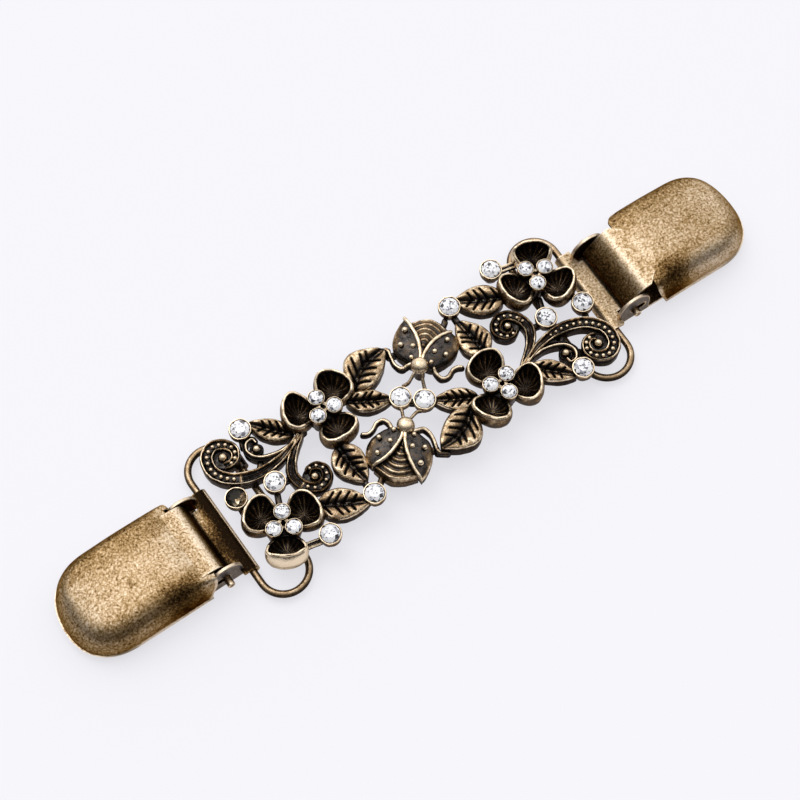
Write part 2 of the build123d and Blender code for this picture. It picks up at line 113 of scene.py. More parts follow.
class Term:
    """A shader socket that can be used in Python expressions."""

    def __init__(self, graph: Graph, socket: bpy.types.NodeSocket) -> None:
        """Wraps one output socket of a graph."""
        self.graph = graph
        self.socket = socket

    def _maths(self, operation: str, *values: Term | float) -> Term:
        """Adds a Math node on these values."""
        sockets = dict(enumerate(values))
        return self.graph.node("ShaderNodeMath", {"operation": operation}, sockets)

    def __add__(self, other: Term | float) -> Term:
        """Sum."""
        return self._maths("ADD", self, other)

    def __radd__(self, other: float) -> Term:
        """Sum with a number first."""
        return self._maths("ADD", other, self)

    def __sub__(self, other: Term | float) -> Term:
        """Difference."""
        return self._maths("SUBTRACT", self, other)

    def __rsub__(self, other: float) -> Term:
        """Difference from a number."""
        return self._maths("SUBTRACT", other, self)

    def __mul__(self, other: Term | float) -> Term:
        """Product."""
        return self._maths("MULTIPLY", self, other)

    def __rmul__(self, other: float) -> Term:
        """Product with a number first."""
        return self._maths("MULTIPLY", other, self)

    def clamp(self) -> Term:
        """The value held between 0 and 1."""
        return self._maths("MINIMUM", self._maths("MAXIMUM", self, 0.0), 1.0)

    def step(self, low: float, high: float) -> Term:
        """A smooth step from 0 at low to 1 at high.

        Args:
            low: Where the step starts.
            high: Where the step ends.

        Returns:
            The stepped value.
        """
        return self.graph.node(
            "ShaderNodeMapRange",
            {"interpolation_type": "SMOOTHSTEP"},
            {"Value": self, "From Min": low, "From Max": high},
        )


class Graph:
    """The node tree of one material."""

    def __init__(self, name: str) -> None:
        """Starts an empty material of this name."""
        self.material = bpy.data.materials.new(name)
        self.material.use_nodes = True
        self.tree = self.material.node_tree
        self.tree.nodes.clear()

    def node(
        self,
        kind: str,
        settings: dict[str, object] | None = None,
        sockets: dict[int | str, object] | None = None,
        output: int | str = 0,
    ) -> Term:
        """Adds one node.

        Args:
            kind: The node's type.
            settings: Properties set before its sockets; "stops" sets a ramp's stops.
            sockets: Values or terms for its inputs.
            output: The output to return.

        Returns:
            The chosen output as a term.
        """
        made = self.tree.nodes.new(kind)
        for key, value in (settings or {}).items():
            if key == "stops":
                set_stops(made, value)
            else:
                setattr(made, key, value)
        for key, value in (sockets or {}).items():
            if isinstance(value, Term):
                self.tree.links.new(value.socket, made.inputs[key])
            else:
                made.inputs[key].default_value = value
        return Term(self, made.outputs[output])

    def place(self) -> Term:
        """The point on the piece, in metres."""
        return self.node("ShaderNodeTexCoord", output="Object")

    def noise(self, scale: float, detail: float, rough: float) -> Term:
        """A noise over the piece.

        Args:
            scale: Lumps to a metre.
            detail: Octaves.
            rough: Weight of the finer octaves.

        Returns:
            The noise's value.
        """
        sockets = {"Vector": self.place(), "Scale": scale, "Detail": detail, "Roughness": rough}
        return self.node("ShaderNodeTexNoise", sockets=sockets)

    def bent(self, reach: float, scale: float) -> Term:
        """The point on the piece, shifted this way and that by up to about a reach."""
        swirl = self.node(
            "ShaderNodeTexNoise", None, {"Vector": self.place(), "Scale": scale, "Detail": 2.0}, "Color"
        )
        push = self.node("ShaderNodeVectorMath", {"operation": "SCALE"}, {0: swirl, "Scale": reach * 2})
        return self.node("ShaderNodeVectorMath", {"operation": "ADD"}, {0: self.place(), 1: push})

    def cells(self, scale: float) -> Term:
        """The distance within cells of this many to a metre."""
        sockets = {"Vector": self.place(), "Scale": scale}
        return self.node("ShaderNodeTexVoronoi", {"feature": "F1"}, sockets)

    def strokes(self, scale: float, place: Term) -> Term:
        """Thin strokes between cells of this many to a metre."""
        sockets = {"Vector": place, "Scale": scale}
        gap = self.node("ShaderNodeTexVoronoi", {"feature": "DISTANCE_TO_EDGE"}, sockets)
        return 1.0 - gap.step(0.02, 0.13)

    def stored(self, name: str) -> Term:
        """A number stored on the mesh."""
        return self.node("ShaderNodeAttribute", {"attribute_name": name}, output="Fac")

    def ramp(self, value: Term, stops: Sequence[tuple[float, Triple]]) -> Term:
        """The colour of a value on a ramp."""
        return self.node("ShaderNodeValToRGB", {"stops": stops}, {"Fac": value}, "Color")

    def blend(self, share: Term | float, one: Term | Triple, other: Term | Triple) -> Term:
        """Mixes two colours.

        Args:
            share: Weight of the second colour.
            one: The first colour.
            other: The second colour.

        Returns:
            The mixed colour.
        """
        return self.node(
            "ShaderNodeMix",
            {"data_type": "RGBA", "blend_type": "MIX"},
            {0: share, 6: self._colour(one), 7: self._colour(other)},
            2,
        )

    @staticmethod
    def _colour(value: Term | tuple) -> Term | tuple:
        """A colour as the Mix node takes it."""
        return value if isinstance(value, Term) else (*value, 1.0)

    def bump(self, height: Term, depth: float, strength: float) -> Term:
        """A bumped normal from a height, in metres."""
        sockets = {"Height": height, "Distance": depth, "Strength": strength}
        return self.node("ShaderNodeBump", sockets=sockets)

    def surface(self, sockets: dict[str, object]) -> bpy.types.Material:
        """Ends the material in a Principled shader with these inputs."""
        shader = self.node("ShaderNodeBsdfPrincipled", sockets=sockets)
        end = self.tree.nodes.new("ShaderNodeOutputMaterial")
        self.tree.links.new(shader.socket, end.inputs["Surface"])
        return self.material


# ---- Finishes


@dataclass(frozen=True)
class CastFinish:
    """Cast brass, blackened in its hollows and rubbed bright where it stands out, with the step above black
    painted as the sheen of the pale sky that the black reflects.
    """

    name: str
    black: Triple = (0.010, 0.0085, 0.008)
    painted_sheen_grey: Triple = (0.066, 0.060, 0.057)
    brown: Triple = (0.092, 0.058, 0.031)
    brass: Triple = (0.30, 0.204, 0.116)
    bright: Triple = (0.87, 0.71, 0.51)
    edge_tint: Triple = (0.50, 0.46, 0.43)
    grain: float = 3800.0
    patch: float = 900.0
    uneven: float = 0.75
    grain_depth: float = 0.00007

    def make(self) -> bpy.types.Material:
        """Builds the material."""
        g = Graph(self.name)
        grain = g.noise(self.grain, 3.0, 0.65)
        patch = g.noise(self.patch, 2.0, 0.5)
        rubbed = (g.stored(WEAR_AND_PAINTED_LIGHT) - 0.03 + (grain - 0.5) * self.uneven + (patch - 0.5) * self.uneven).clamp()
        # The step between black and brown is a painted sheen: the pale sky as the black patina reflects it.
        colours = (self.black, self.black, self.painted_sheen_grey, self.brown, self.brass, self.bright)
        colour = g.ramp(rubbed, tuple(zip((0.0, 0.08, 0.28, 0.44, 0.68, 0.95), colours)))
        return g.surface(
            {
                "Base Color": colour,
                "Metallic": 0.9 + rubbed * 0.1,
                "Roughness": 0.25 + (grain - 0.5) * 0.16,
                "Specular Tint": (*self.edge_tint, 1.0),
                "Normal": g.bump(grain + patch * 0.8, self.grain_depth, 0.6),
            }
        )


@dataclass(frozen=True)
class PlatedFinish:
    """Plated sheet, mottled with fine dark strokes and rubbed bright along its edges."""

    name: str
    deep: Triple = (0.011, 0.006, 0.003)
    umber: Triple = (0.118, 0.062, 0.019)
    brass: Triple = (0.335, 0.218, 0.098)
    bright: Triple = (0.70, 0.578, 0.44)
    bare_dark: Triple = (0.10, 0.095, 0.10)
    bare: Triple = (0.32, 0.315, 0.325)
    edge_tint: Triple = (0.46, 0.35, 0.22)
    dark_stroke: float = 2300.0
    pale_stroke: float = 2700.0
    dark_share: float = 0.30
    pale_share: float = 0.22
    bend: float = 0.0007
    swirl: float = 1300.0
    gaps: float = 2400.0
    speckle: float = 4800.0
    cloud: float = 230.0
    cloud_share: float = 0.30
    mottle: float = 1.0
    roughness: float = 0.42

    def make(self) -> bpy.types.Material:
        """Builds the material."""
        g = Graph(self.name)
        bent = g.bent(self.bend, self.swirl)
        strokes, hairs = (g.strokes(scale, bent) for scale in (self.dark_stroke, self.pale_stroke))
        broken = g.noise(self.gaps, 2.0, 0.5)
        strokes = strokes * broken.step(0.40, 0.58)
        hairs = hairs * (1.0 - broken.step(0.42, 0.60))
        mottle = g.noise(self.speckle, 3.0, 0.7)
        cloud = g.noise(self.cloud, 3.0, 0.55)
        mottled = g.stored(WEAR_AND_PAINTED_LIGHT) + 0.03 + (mottle - 0.5) * self.mottle
        lined = mottled - strokes * self.dark_share + hairs * self.pale_share
        rubbed = (lined + (cloud - 0.5) * self.cloud_share).clamp()
        colours = (self.deep, self.deep, self.umber, self.brass, self.bright)
        colour = g.ramp(rubbed, tuple(zip((0.0, 0.12, 0.36, 0.60, 0.90), colours)))
        bare = g.blend(mottle.step(0.3, 0.7), self.bare_dark, self.bare)
        return g.surface(
            {
                "Base Color": g.blend(g.stored(WEAR_AND_PAINTED_LIGHT).step(1.3, 1.8), colour, bare),
                "Metallic": 1.0,
                "Roughness": self.roughness + 0.08 - rubbed * 0.12 + (mottle - 0.5) * 0.15,
                "Specular Tint": (*self.edge_tint, 1.0),
                "Normal": g.bump(mottle - strokes * 0.4, 0.000030, 0.5),
            }
        )


@dataclass(frozen=True)
class StoneFinish:
    """Cut glass over foil, its sparkle painted: white facets with a few painted dark as reflections of the
    dark, painted dark specks, and a faint painted glow.
    """

    name: str
    dark: Triple = (0.02, 0.02, 0.025)
    painted_sheen_grey: Triple = (0.25, 0.25, 0.29)
    pale: Triple = (0.52, 0.53, 0.58)
    white: Triple = (0.86, 0.86, 0.89)
    painted_speck_scale: float = 3300.0
    glow: float = 0.10

    def make(self) -> bpy.types.Material:
        """Builds the material."""
        g = Graph(self.name)
        painted_dark_specks = g.cells(self.painted_speck_scale)
        # Painted reflections: each facet's painted brightness, less the painted dark specks.
        painted_facets = g.stored(PAINTED_FACET_LIGHT) - painted_dark_specks.step(0.58, 0.92) * 0.5
        colours = (self.dark, self.dark, self.painted_sheen_grey, self.pale, self.white)
        colour = g.ramp(painted_facets, tuple(zip((0.0, 0.07, 0.13, 0.26, 0.42), colours)))
        return g.surface(
            {
                "Base Color": colour,
                "Roughness": 0.06 + painted_dark_specks * 0.05,
                "Coat Weight": 1.0,
                "Coat Roughness": 0.02,
                # A faint painted glow, though the stone is no lamp.
                "Emission Color": colour,
                "Emission Strength": self.glow,
            }
        )


@dataclass(frozen=True)
class BareStoneFinish:
    """Cut glass that has lost its foil, so that its dark cup shows through, its light and shade painted along
    a fixed direction: a dark side and a crescent of lit brass.
    """

    name: str
    # Where the painted crescent of lit brass lies: its middle, its direction across the stone and its reach.
    centre: Triple = (-0.03464, 0.00185, 0.0)
    towards: Triple = (0.25, -0.97, 0.0)
    reach: float = 0.0017
    lump: float = 1600.0
    black: Triple = (0.004, 0.0035, 0.003)
    dark: Triple = (0.010, 0.008, 0.006)
    brown: Triple = (0.16, 0.11, 0.06)
    brass: Triple = (0.74, 0.62, 0.45)

    def make(self) -> bpy.types.Material:
        """Builds the material."""
        g = Graph(self.name)
        painted_facets = g.stored(PAINTED_FACET_LIGHT)
        lumps = g.noise(self.lump, 3.0, 0.6)
        sockets = {0: g.place(), 1: self.towards}
        along = g.node("ShaderNodeVectorMath", {"operation": "DOT_PRODUCT"}, sockets, "Value")
        start = sum(a * b for a, b in zip(self.centre, self.towards))
        across = (along - start) * (0.5 / self.reach) + 0.5
        # Painted light and shade: dark on one side, a crescent of lit brass on the other, and painted facet
        # light.
        colour = g.ramp(
            (across * 0.75 + (painted_facets - 0.5) * 0.30 + (lumps - 0.5) * 0.7).clamp(),
            ((0.0, self.black), (0.46, self.dark), (0.58, self.brown), (0.80, self.brass)),
        )
        return g.surface(
            {
                "Base Color": colour,
                "Metallic": 1.0,
                "Roughness": 0.16 + lumps * 0.1,
                "Coat Weight": 0.15,
                "Coat Roughness": 0.03,
            }
        )


# ---- Curves and surfaces


def joined(*parts: np.ndarray | float) -> np.ndarray:
    """Points from their coordinates, each a list or one number for all."""
    return np.stack(np.broadcast_arrays(*parts), -1)


def unit(ways: np.ndarray) -> np.ndarray:
    """Directions of length 1, from a list of directions."""
    return ways / np.maximum(np.linalg.norm(ways, axis=1, keepdims=True), 1e-9)


def spaced(line: np.ndarray, count: int) -> np.ndarray:
    """Points evenly spaced along a polyline.

    Args:
        line: The polyline's points.
        count: How many points to return.

    Returns:
        The points, the ends included.
    """
    gaps = np.linalg.norm(np.diff(line, axis=0), axis=1)
    run = np.concatenate([[0.0], np.cumsum(gaps)])
    stations = np.linspace(0.0, run[-1], count)
    return joined(*(np.interp(stations, run, line[:, k]) for k in range(line.shape[1])))


def smooth_line(points: Sequence[Sequence[float]], count: int) -> np.ndarray:
    """A smooth curve through points, evenly spaced.

    Args:
        points: The points it passes through.
        count: How many points to return.

    Returns:
        The curve's points.
    """
    p = np.asarray(points, float)
    p = np.vstack([2 * p[0] - p[1], p, 2 * p[-1] - p[-2]])
    t = np.linspace(0.0, 1.0, 24, endpoint=False)[:, None]
    runs = []
    for a, b, c, d in zip(p[:-3], p[1:-2], p[2:-1], p[3:]):
        runs.append(
            0.5 * (2 * b + (c - a) * t + (2 * a - 5 * b + 4 * c - d) * t**2 + (3 * b - a - 3 * c + d) * t**3)
        )
    return spaced(np.vstack([*runs, p[-2:-1]]), count)


def headings(line: np.ndarray) -> np.ndarray:
    """Unit directions along a curve."""
    return unit(np.gradient(line, axis=0))


def sideways(line: np.ndarray) -> np.ndarray:
    """Level unit directions to the left of a curve."""
    along = headings(line)
    return unit(joined(-along[:, 1], along[:, 0], 0.0))


def at_height(line: np.ndarray, z: float | np.ndarray) -> np.ndarray:
    """A plan curve lifted to a height."""
    return joined(line[:, 0], line[:, 1], z)


def swung(points: np.ndarray, bearing: float, centre: Sequence[float] = (0.0, 0.0)) -> np.ndarray:
    """Points turned about +Z by a bearing, in degrees, and moved to a centre in plan."""
    c, s = math.cos(math.radians(bearing)), math.sin(math.radians(bearing))
    x, y, z = points[..., 0], points[..., 1], points[..., 2]
    return joined(centre[0] + x * c - y * s, centre[1] + x * s + y * c, z)


def ease(x: np.ndarray, low: float, high: float) -> np.ndarray:
    """A smooth step from 0 at low to 1 at high."""
    t = np.clip((x - low) / (high - low), 0.0, 1.0)
    return t * t * (3 - 2 * t)


def ridge(x: np.ndarray, half: float) -> np.ndarray:
    """A rounded ridge, 1 at x = 0, that is gone about two halves away."""
    return np.exp(-((x / half) ** 2))


def linked(name: str, data: bpy.types.ID) -> bpy.types.Object:
    """A new object of the scene."""
    made = bpy.data.objects.new(name, data)
    bpy.context.scene.collection.objects.link(made)
    return made


@dataclass
class Shape:
    """A mesh in the making: points in millimetres, faces and a value at each point for wear, which in places
    also holds painted light and shade.
    """

    points: list[np.ndarray] = field(default_factory=list)
    wear: list[np.ndarray] = field(default_factory=list)
    faces: list[list[int]] = field(default_factory=list)
    size: int = 0

    def add(self, points: np.ndarray, wear: np.ndarray | float, faces: Sequence[Sequence[int]]) -> None:
        """Adds points and the faces between them.

        Args:
            points: Points, three numbers each.
            wear: Wear of each point, or of all.
            faces: Faces by point number, counted from these points.
        """
        start = self.size
        points = np.asarray(points, float).reshape(-1, 3)
        self.points.append(points)
        self.wear.append(np.broadcast_to(np.asarray(wear, float).ravel(), len(points)).copy())
        self.faces.extend([start + k for k in face] for face in faces)
        self.size += len(points)

    @staticmethod
    def quads(
        rows: int, columns: int, round_rows: bool = False, round_columns: bool = False
    ) -> list[list[int]]:
        """The faces of a lattice of points, row by row."""
        faces = []
        for i in range(rows if round_rows else rows - 1):
            for j in range(columns if round_columns else columns - 1):
                k, m = (i + 1) % rows, (j + 1) % columns
                faces.append([i * columns + j, k * columns + j, k * columns + m, i * columns + m])
        return faces

    @classmethod
    def barrel(cls, rows: int, columns: int, flip: bool = False) -> list[list[int]]:
        """The faces of stacked rings that close to a solid: those between them and both ends."""
        faces = cls.quads(rows, columns, False, True)
        faces += [list(range(columns)), [(rows - 1) * columns + k for k in reversed(range(columns))]]
        return [face[::-1] for face in faces] if flip else faces

    def tube(
        self,
        line: np.ndarray,
        radius: float | np.ndarray,
        wear: float | np.ndarray,
        sides: int = 10,
        closed: bool = False,
        flat: float = 1.0,
        under: float | None = None,
        crest: tuple[float, float] = (0.25, 0.8),
    ) -> None:
        """Adds a round wire along a curve, its ends rounded off.

        Args:
            line: The wire's middle line.
            radius: Its radius, or one for each point.
            wear: Wear at the top of the wire.
            sides: Points round it.
            closed: Whether the line is a loop.
            flat: Height of the section over its width.
            under: Wear at the bottom of the wire, or None for the same as the top.
            crest: The shares of the height between which the wear changes.
        """
        radius = np.broadcast_to(radius, len(line)).astype(float)
        wear = np.broadcast_to(wear, len(line)).astype(float)
        if closed:
            along = unit(np.roll(line, -1, 0) - np.roll(line, 1, 0))
        else:
            turn = np.linspace(0.0, math.pi / 2, 4)[:-1]
            first, last = headings(line)[0], headings(line)[-1]
            head = line[0] - first * (radius[0] * np.cos(turn))[:, None]
            tail = line[-1] + last * (radius[-1] * np.sin(turn[1:]))[:, None]
            tip = line[-1:] + last * radius[-1]
            line = np.vstack([head, line, tail, tip])
            small = 0.02
            grown = radius[0] * np.maximum(np.sin(turn), small)
            radius = np.concatenate([grown, radius, radius[-1] * np.cos(turn[1:]), [radius[-1] * small]])
            wear = np.concatenate([np.full(3, wear[0]), wear, np.full(3, wear[-1])])
            along = headings(line)
            along[:4], along[-4:] = first, last
        left = unit(joined(-along[:, 1], along[:, 0], 0.0))
        up = np.cross(along, left)
        turn = np.arange(sides) * 2 * math.pi / sides
        ring = (
            line[:, None]
            + left[:, None] * (radius[:, None, None] * np.cos(turn)[None, :, None])
            + up[:, None] * (radius[:, None, None] * flat * np.sin(turn)[None, :, None])
        )
        low = wear if under is None else np.full(len(line), under)
        share = 0.5 + 0.5 * np.sin(turn)
        shade = low[:, None] + (wear - low)[:, None] * ease(share, *crest)[None]
        faces = self.quads(len(line), sides, True, True) if closed else self.barrel(len(line), sides)
        self.add(ring, shade, faces)

    def slab(
        self,
        near: np.ndarray,
        far: np.ndarray,
        foot: float | np.ndarray,
        columns: int,
        rise: Field,
        wear: Field,
        wall_wear: float = 0.1,
        spread: float = 0.06,
    ) -> None:
        """Adds a closed slab whose top is stretched between two edges and carved in relief.

        Args:
            near: Points of one long edge of the top.
            far: Points of the other edge, as many.
            foot: Height of its flat underside.
            columns: Points across.
            rise: Relief over the top, of the shares along and across.
            wear: Wear over the top, of the same shares.
            wall_wear: Wear of the side walls.
            spread: How far the walls stand out below the edge.
        """
        rows = len(near)
        across = np.linspace(0.0, 1.0, columns)
        along = np.linspace(0.0, 1.0, rows)
        u, v = np.meshgrid(along, across, indexing="ij")
        top = near[:, None] * (1 - v)[..., None] + far[:, None] * v[..., None]
        top[..., 2] += rise(u, v)
        shade = np.clip(wear(u, v), 0.0, 1.0)
        out = near - far
        out[:, 2] = 0.0
        out = unit(out)
        foot = np.broadcast_to(foot, rows)
        lip_near, lip_far = top[:, 0].copy(), top[:, -1].copy()
        drop = np.minimum(0.28, 0.4 * (lip_near[:, 2] - foot))
        lip_near += out * spread
        lip_far -= out * spread
        lip_near[:, 2] -= drop
        lip_far[:, 2] -= drop
        foot_near, foot_far = lip_near - out * 0.15, lip_far + out * 0.15
        foot_near[:, 2] = foot
        foot_far[:, 2] = foot
        faces = [face[::-1] for face in self.quads(rows, columns)]
        count = rows * columns
        ids = [count + k * rows + np.arange(rows) for k in range(4)]
        edge_near = np.arange(rows) * columns
        edge_far = edge_near + columns - 1
        for upper, lower, flip in (
            (edge_near, ids[0], False),
            (ids[0], ids[1], False),
            (edge_far, ids[2], True),
            (ids[2], ids[3], True),
            (ids[1], ids[3], False),
        ):
            for i in range(rows - 1):
                face = [int(upper[i]), int(upper[i + 1]), int(lower[i + 1]), int(lower[i])]
                faces.append(face if not flip else face[::-1])
        for i, flip in ((0, False), (rows - 1, True)):
            end = [int(k) for k in range(i * columns, (i + 1) * columns)]
            end += [int(ids[2][i]), int(ids[3][i]), int(ids[1][i]), int(ids[0][i])]
            faces.append(end[::-1] if flip else end)
        walls = np.vstack([lip_near, foot_near, lip_far, foot_far])
        dark = np.concatenate([np.full(rows, wall_wear), np.full(rows, wall_wear * 0.6)] * 2)
        self.add(np.vstack([top.reshape(-1, 3), walls]), np.concatenate([shade.ravel(), dark]), faces)

    def sheet(
        self, outline: np.ndarray, low: float, high: float, edge: float, wear: float, rim: float
    ) -> None:
        """Adds a level plate with eased edges.

        Args:
            outline: Its outline in plan, once round.
            low: Height of its underside.
            high: Height of its top.
            edge: How far its edges are eased.
            wear: Wear of its faces.
            rim: Wear of its edges.
        """
        count = len(outline)
        inward = outline.mean(0) - outline
        inner = outline + inward * (edge / np.linalg.norm(inward, axis=1, keepdims=True))
        rings = ((inner, low), (outline, low + edge), (outline, high - edge), (inner, high))
        rows = [at_height(ring, z) for ring, z in rings]
        self.add(np.vstack(rows), np.repeat([wear, rim, rim, wear], count), self.barrel(4, count))

    def lathe(self, profile: Sequence[Triple], centre: Sequence[float], sides: int) -> None:
        """Adds a turned form, closed where its profile meets the axis.

        Args:
            profile: Radius, height and wear of each ring, from the bottom up and in.
            centre: The axis in plan, and the height its profile is counted from.
            sides: Points round it.
        """
        turn = np.arange(sides) * 2 * math.pi / sides
        x, y, z = centre
        rows = [joined(x + r * np.cos(turn), y + r * np.sin(turn), z + up) for r, up, _ in profile]
        faces = self.barrel(len(profile), sides, True)
        self.add(np.vstack(rows), np.repeat([w for _, _, w in profile], sides), faces)

    def strip(
        self,
        line: np.ndarray,
        side: np.ndarray,
        half: float,
        across: np.ndarray,
        wear: Callable[[int, np.ndarray, bool], np.ndarray],
    ) -> None:
        """Adds a strip of sheet that is bent in the XZ plane and lies across it.

        Args:
            line: The middle of the sheet, as x and z.
            side: Its outward directions, as x and z.
            half: Half its thickness.
            across: The places across it, row by row.
            wear: The wear of a row, from its number, its x and z and whether it is on the outer side.
        """
        count, columns = across.shape
        rows, shades = [], []
        for sign in (1, -1):
            for k in range(count)[::sign]:
                skin = line[k] + side[k] * sign * half
                rows.append(joined(skin[0], across[k], skin[1]))
                shades.append(np.clip(wear(k, skin, sign > 0), -0.5, 1))
        faces = self.quads(len(rows), columns, True)
        for j in (0, columns - 1):
            for k in range(count - 1):
                corners = (k, k + 1, 2 * count - 2 - k, 2 * count - 1 - k)
                faces.append([i * columns + j for i in corners])
        self.add(np.stack(rows), np.stack(shades), faces)

    def with_half_turn(self) -> Shape:
        """The shape and its copy half a turn away about the clip's middle."""
        both = Shape()
        points, wear = np.vstack(self.points), np.concatenate(self.wear)
        both.add(points, wear, self.faces)
        both.add(points * (-1, -1, 1), wear, self.faces)
        return both

    def turned(self, move: Matrix) -> Shape:
        """A moved copy of the shape."""
        copy = Shape()
        points = np.vstack(self.points)
        place = np.array(move)
        copy.add(points @ place[:3, :3].T + place[:3, 3], np.concatenate(self.wear), self.faces)
        return copy

    def wavered(self, reach: float, seed: int) -> Shape:
        """A copy whose surface wavers a little, as a casting's does.

        Args:
            reach: About how far a point is shifted.
            seed: The seed of the shifts.

        Returns:
            The copy.
        """
        rough = np.random.default_rng(seed)
        points = np.vstack(self.points)
        moved = points.copy()
        for length in (1.1, 1.7, 2.6, 4.1):
            for axis in range(3):
                wave = rough.normal(0.0, 1.0, 3)
                wave *= 2 * math.pi / (length * np.linalg.norm(wave))
                moved[:, axis] += reach * 0.5 * np.sin(points @ wave + rough.uniform(0, 2 * math.pi))
        copy = Shape()
        copy.add(moved, np.concatenate(self.wear), self.faces)
        return copy

    def mesh(self, name: str) -> bpy.types.Object:
        """Makes the Blender object, its doubles merged and its faces turned outward.

        Args:
            name: The object's name.

        Returns:
            The object, at the origin.
        """
        data = bpy.data.meshes.new(name)
        data.from_pydata((np.vstack(self.points) * MM).tolist(), [], self.faces)
        stored = data.attributes.new(WEAR_AND_PAINTED_LIGHT, "FLOAT", "POINT")
        stored.data.foreach_set("value", np.concatenate(self.wear).astype(np.float32))
        work = bmesh.new()
        work.from_mesh(data)
        bmesh.ops.remove_doubles(work, verts=work.verts, dist=MERGE_GAP)
        bmesh.ops.dissolve_degenerate(work, edges=work.edges, dist=FLAT_EDGE)
        bmesh.ops.recalc_face_normals(work, faces=work.faces)
        work.to_mesh(data)
        work.free()
        data.shade_smooth()
        data.set_sharp_from_angle(angle=math.radians(SHARP_ANGLE))
        return linked(name, data)


# ---- Repeats


class Repeater:
    """Copies one form onto marked places with Geometry Nodes."""

    def __init__(self, name: str, form: bpy.types.Object, material: bpy.types.Material, seed: int) -> None:
        """Builds the node tree.

        Args:
            name: The tree's name.
            form: The object that is copied, about the origin.
            material: The finish of the copies.
            seed: The seed of each copy's turn and of its facets' painted light.
        """
        self.form = form
        self.material = material
        self.tree = bpy.data.node_groups.new(name, "GeometryNodeTree")
        face = self.tree.interface
        face.new_socket("Geometry", in_out="INPUT", socket_type="NodeSocketGeometry")
        self.inputs = {}
        for label, value in (("Copy size", 1.0), ("Turn", 0.0), ("Tone floor", 0.0)):
            made = face.new_socket(label, in_out="INPUT", socket_type="NodeSocketFloat")
            made.default_value = value
            self.inputs[label] = made.identifier
        made = face.new_socket("Seed", in_out="INPUT", socket_type="NodeSocketInt")
        made.default_value = seed
        self.inputs["Seed"] = made.identifier
        face.new_socket("Geometry", in_out="OUTPUT", socket_type="NodeSocketGeometry")
        self._wire()

    def _node(self, kind: str, **settings: object) -> bpy.types.Node:
        """Adds a node with these settings."""
        made = self.tree.nodes.new(kind)
        for key, value in settings.items():
            setattr(made, key, value)
        return made

    def _wire(self) -> None:
        """Adds the nodes and their links."""
        link = self.tree.links.new
        start, end = self._node("NodeGroupInput"), self._node("NodeGroupOutput")
        form = self._node("GeometryNodeObjectInfo", transform_space="ORIGINAL")
        form.inputs["Object"].default_value = self.form
        size = self._node("GeometryNodeInputNamedAttribute", data_type="FLOAT")
        size.inputs["Name"].default_value = "size"
        grown = self._node("ShaderNodeMath", operation="MULTIPLY")
        link(size.outputs[0], grown.inputs[0])
        link(start.outputs["Copy size"], grown.inputs[1])
        turn = self._node("FunctionNodeRandomValue", data_type="FLOAT")
        link(start.outputs["Turn"], turn.inputs[3])
        link(start.outputs["Seed"], turn.inputs["Seed"])
        angle = self._node("ShaderNodeCombineXYZ")
        link(turn.outputs[1], angle.inputs["Z"])
        copies = self._node("GeometryNodeInstanceOnPoints")
        link(start.outputs["Geometry"], copies.inputs["Points"])
        link(form.outputs["Geometry"], copies.inputs["Instance"])
        link(angle.outputs[0], copies.inputs["Rotation"])
        link(grown.outputs[0], copies.inputs["Scale"])
        real = self._node("GeometryNodeRealizeInstances")
        link(copies.outputs[0], real.inputs[0])
        # Each facet gets a random painted brightness, standing for its reflection.
        painted_facets = self._node("FunctionNodeRandomValue", data_type="FLOAT")
        link(start.outputs["Tone floor"], painted_facets.inputs[2])
        link(start.outputs["Seed"], painted_facets.inputs["Seed"])
        store = self._node("GeometryNodeStoreNamedAttribute", data_type="FLOAT", domain="FACE")
        store.inputs["Name"].default_value = PAINTED_FACET_LIGHT
        link(real.outputs[0], store.inputs["Geometry"])
        link(painted_facets.outputs[1], store.inputs["Value"])
        dress = self._node("GeometryNodeSetMaterial")
        dress.inputs["Material"].default_value = self.material
        link(store.outputs[0], dress.inputs["Geometry"])
        link(dress.outputs[0], end.inputs[0])

    def copy_to(
        self, name: str, places: Sequence[Sequence[float]], sizes: Sequence[float], **values: float
    ) -> bpy.types.Object:
        """Makes one mesh of copies.

        Args:
            name: The new object's name.
            places: Where the copies go, in millimetres.
            sizes: The size of each copy.
            **values: The tree's other inputs, by label with _ for a space.

        Returns:
            The object, a plain mesh at the origin.
        """
        data = bpy.data.meshes.new(name + "_places")
        data.from_pydata((np.asarray(places, float) * MM).tolist(), [], [])
        stored = data.attributes.new("size", "FLOAT", "POINT")
        stored.data.foreach_set("value", np.asarray(sizes, np.float32))
        holder = linked(name + "_places", data)
        change = holder.modifiers.new(name, "NODES")
        change.node_group = self.tree
        for label, value in values.items():
            change[self.inputs[label.replace("_", " ")]] = value
        done = holder.evaluated_get(bpy.context.evaluated_depsgraph_get())
        mesh = bpy.data.meshes.new_from_object(done)
        holder.modifiers.clear()
        bpy.data.objects.remove(holder)
        mesh.name = name
        return linked(name, mesh)


def settle(
    piece: bpy.types.Object,
    body: str,
    material: bpy.types.Material | None = None,
    nodes: Sequence[str] = (),
) -> None:
    """Hands a finished piece to the frame.

    Args:
        piece: The piece.
        body: The CAD body it rides on.
        material: Its finish, or None where it already has one.
        nodes: The CAD nodes it stands for.
    """
    if material is not None:
        piece.data.materials.clear()
        piece.data.materials.append(material)
    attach(piece, body)
    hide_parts(*nodes)
    LOG.info("%s: %d faces on %s", piece.name, len(piece.data.polygons), body)


# ---- The casting


def polar(centre: Sequence[float], distance: float, bearing: float) -> np.ndarray:
    """A plan place at a distance and bearing, in degrees, from another."""
    turn = math.radians(bearing)
    return np.array([centre[0] + distance * math.cos(turn), centre[1] + distance * math.sin(turn)])


FLOWERS = (((-30.85, -6.78), 62.6), ((-13.72, 6.93), 92.3))
SINGLES = ((-27.30, 11.96), (-27.72, 0.60), (-25.27, -12.37), (-15.16, -10.60), (-1.56, 1.34))
EDGE_STONE = (-34.64, 1.85)
BARE_STONE = "stone_left_edge"
CAST_FOOT = 2.32


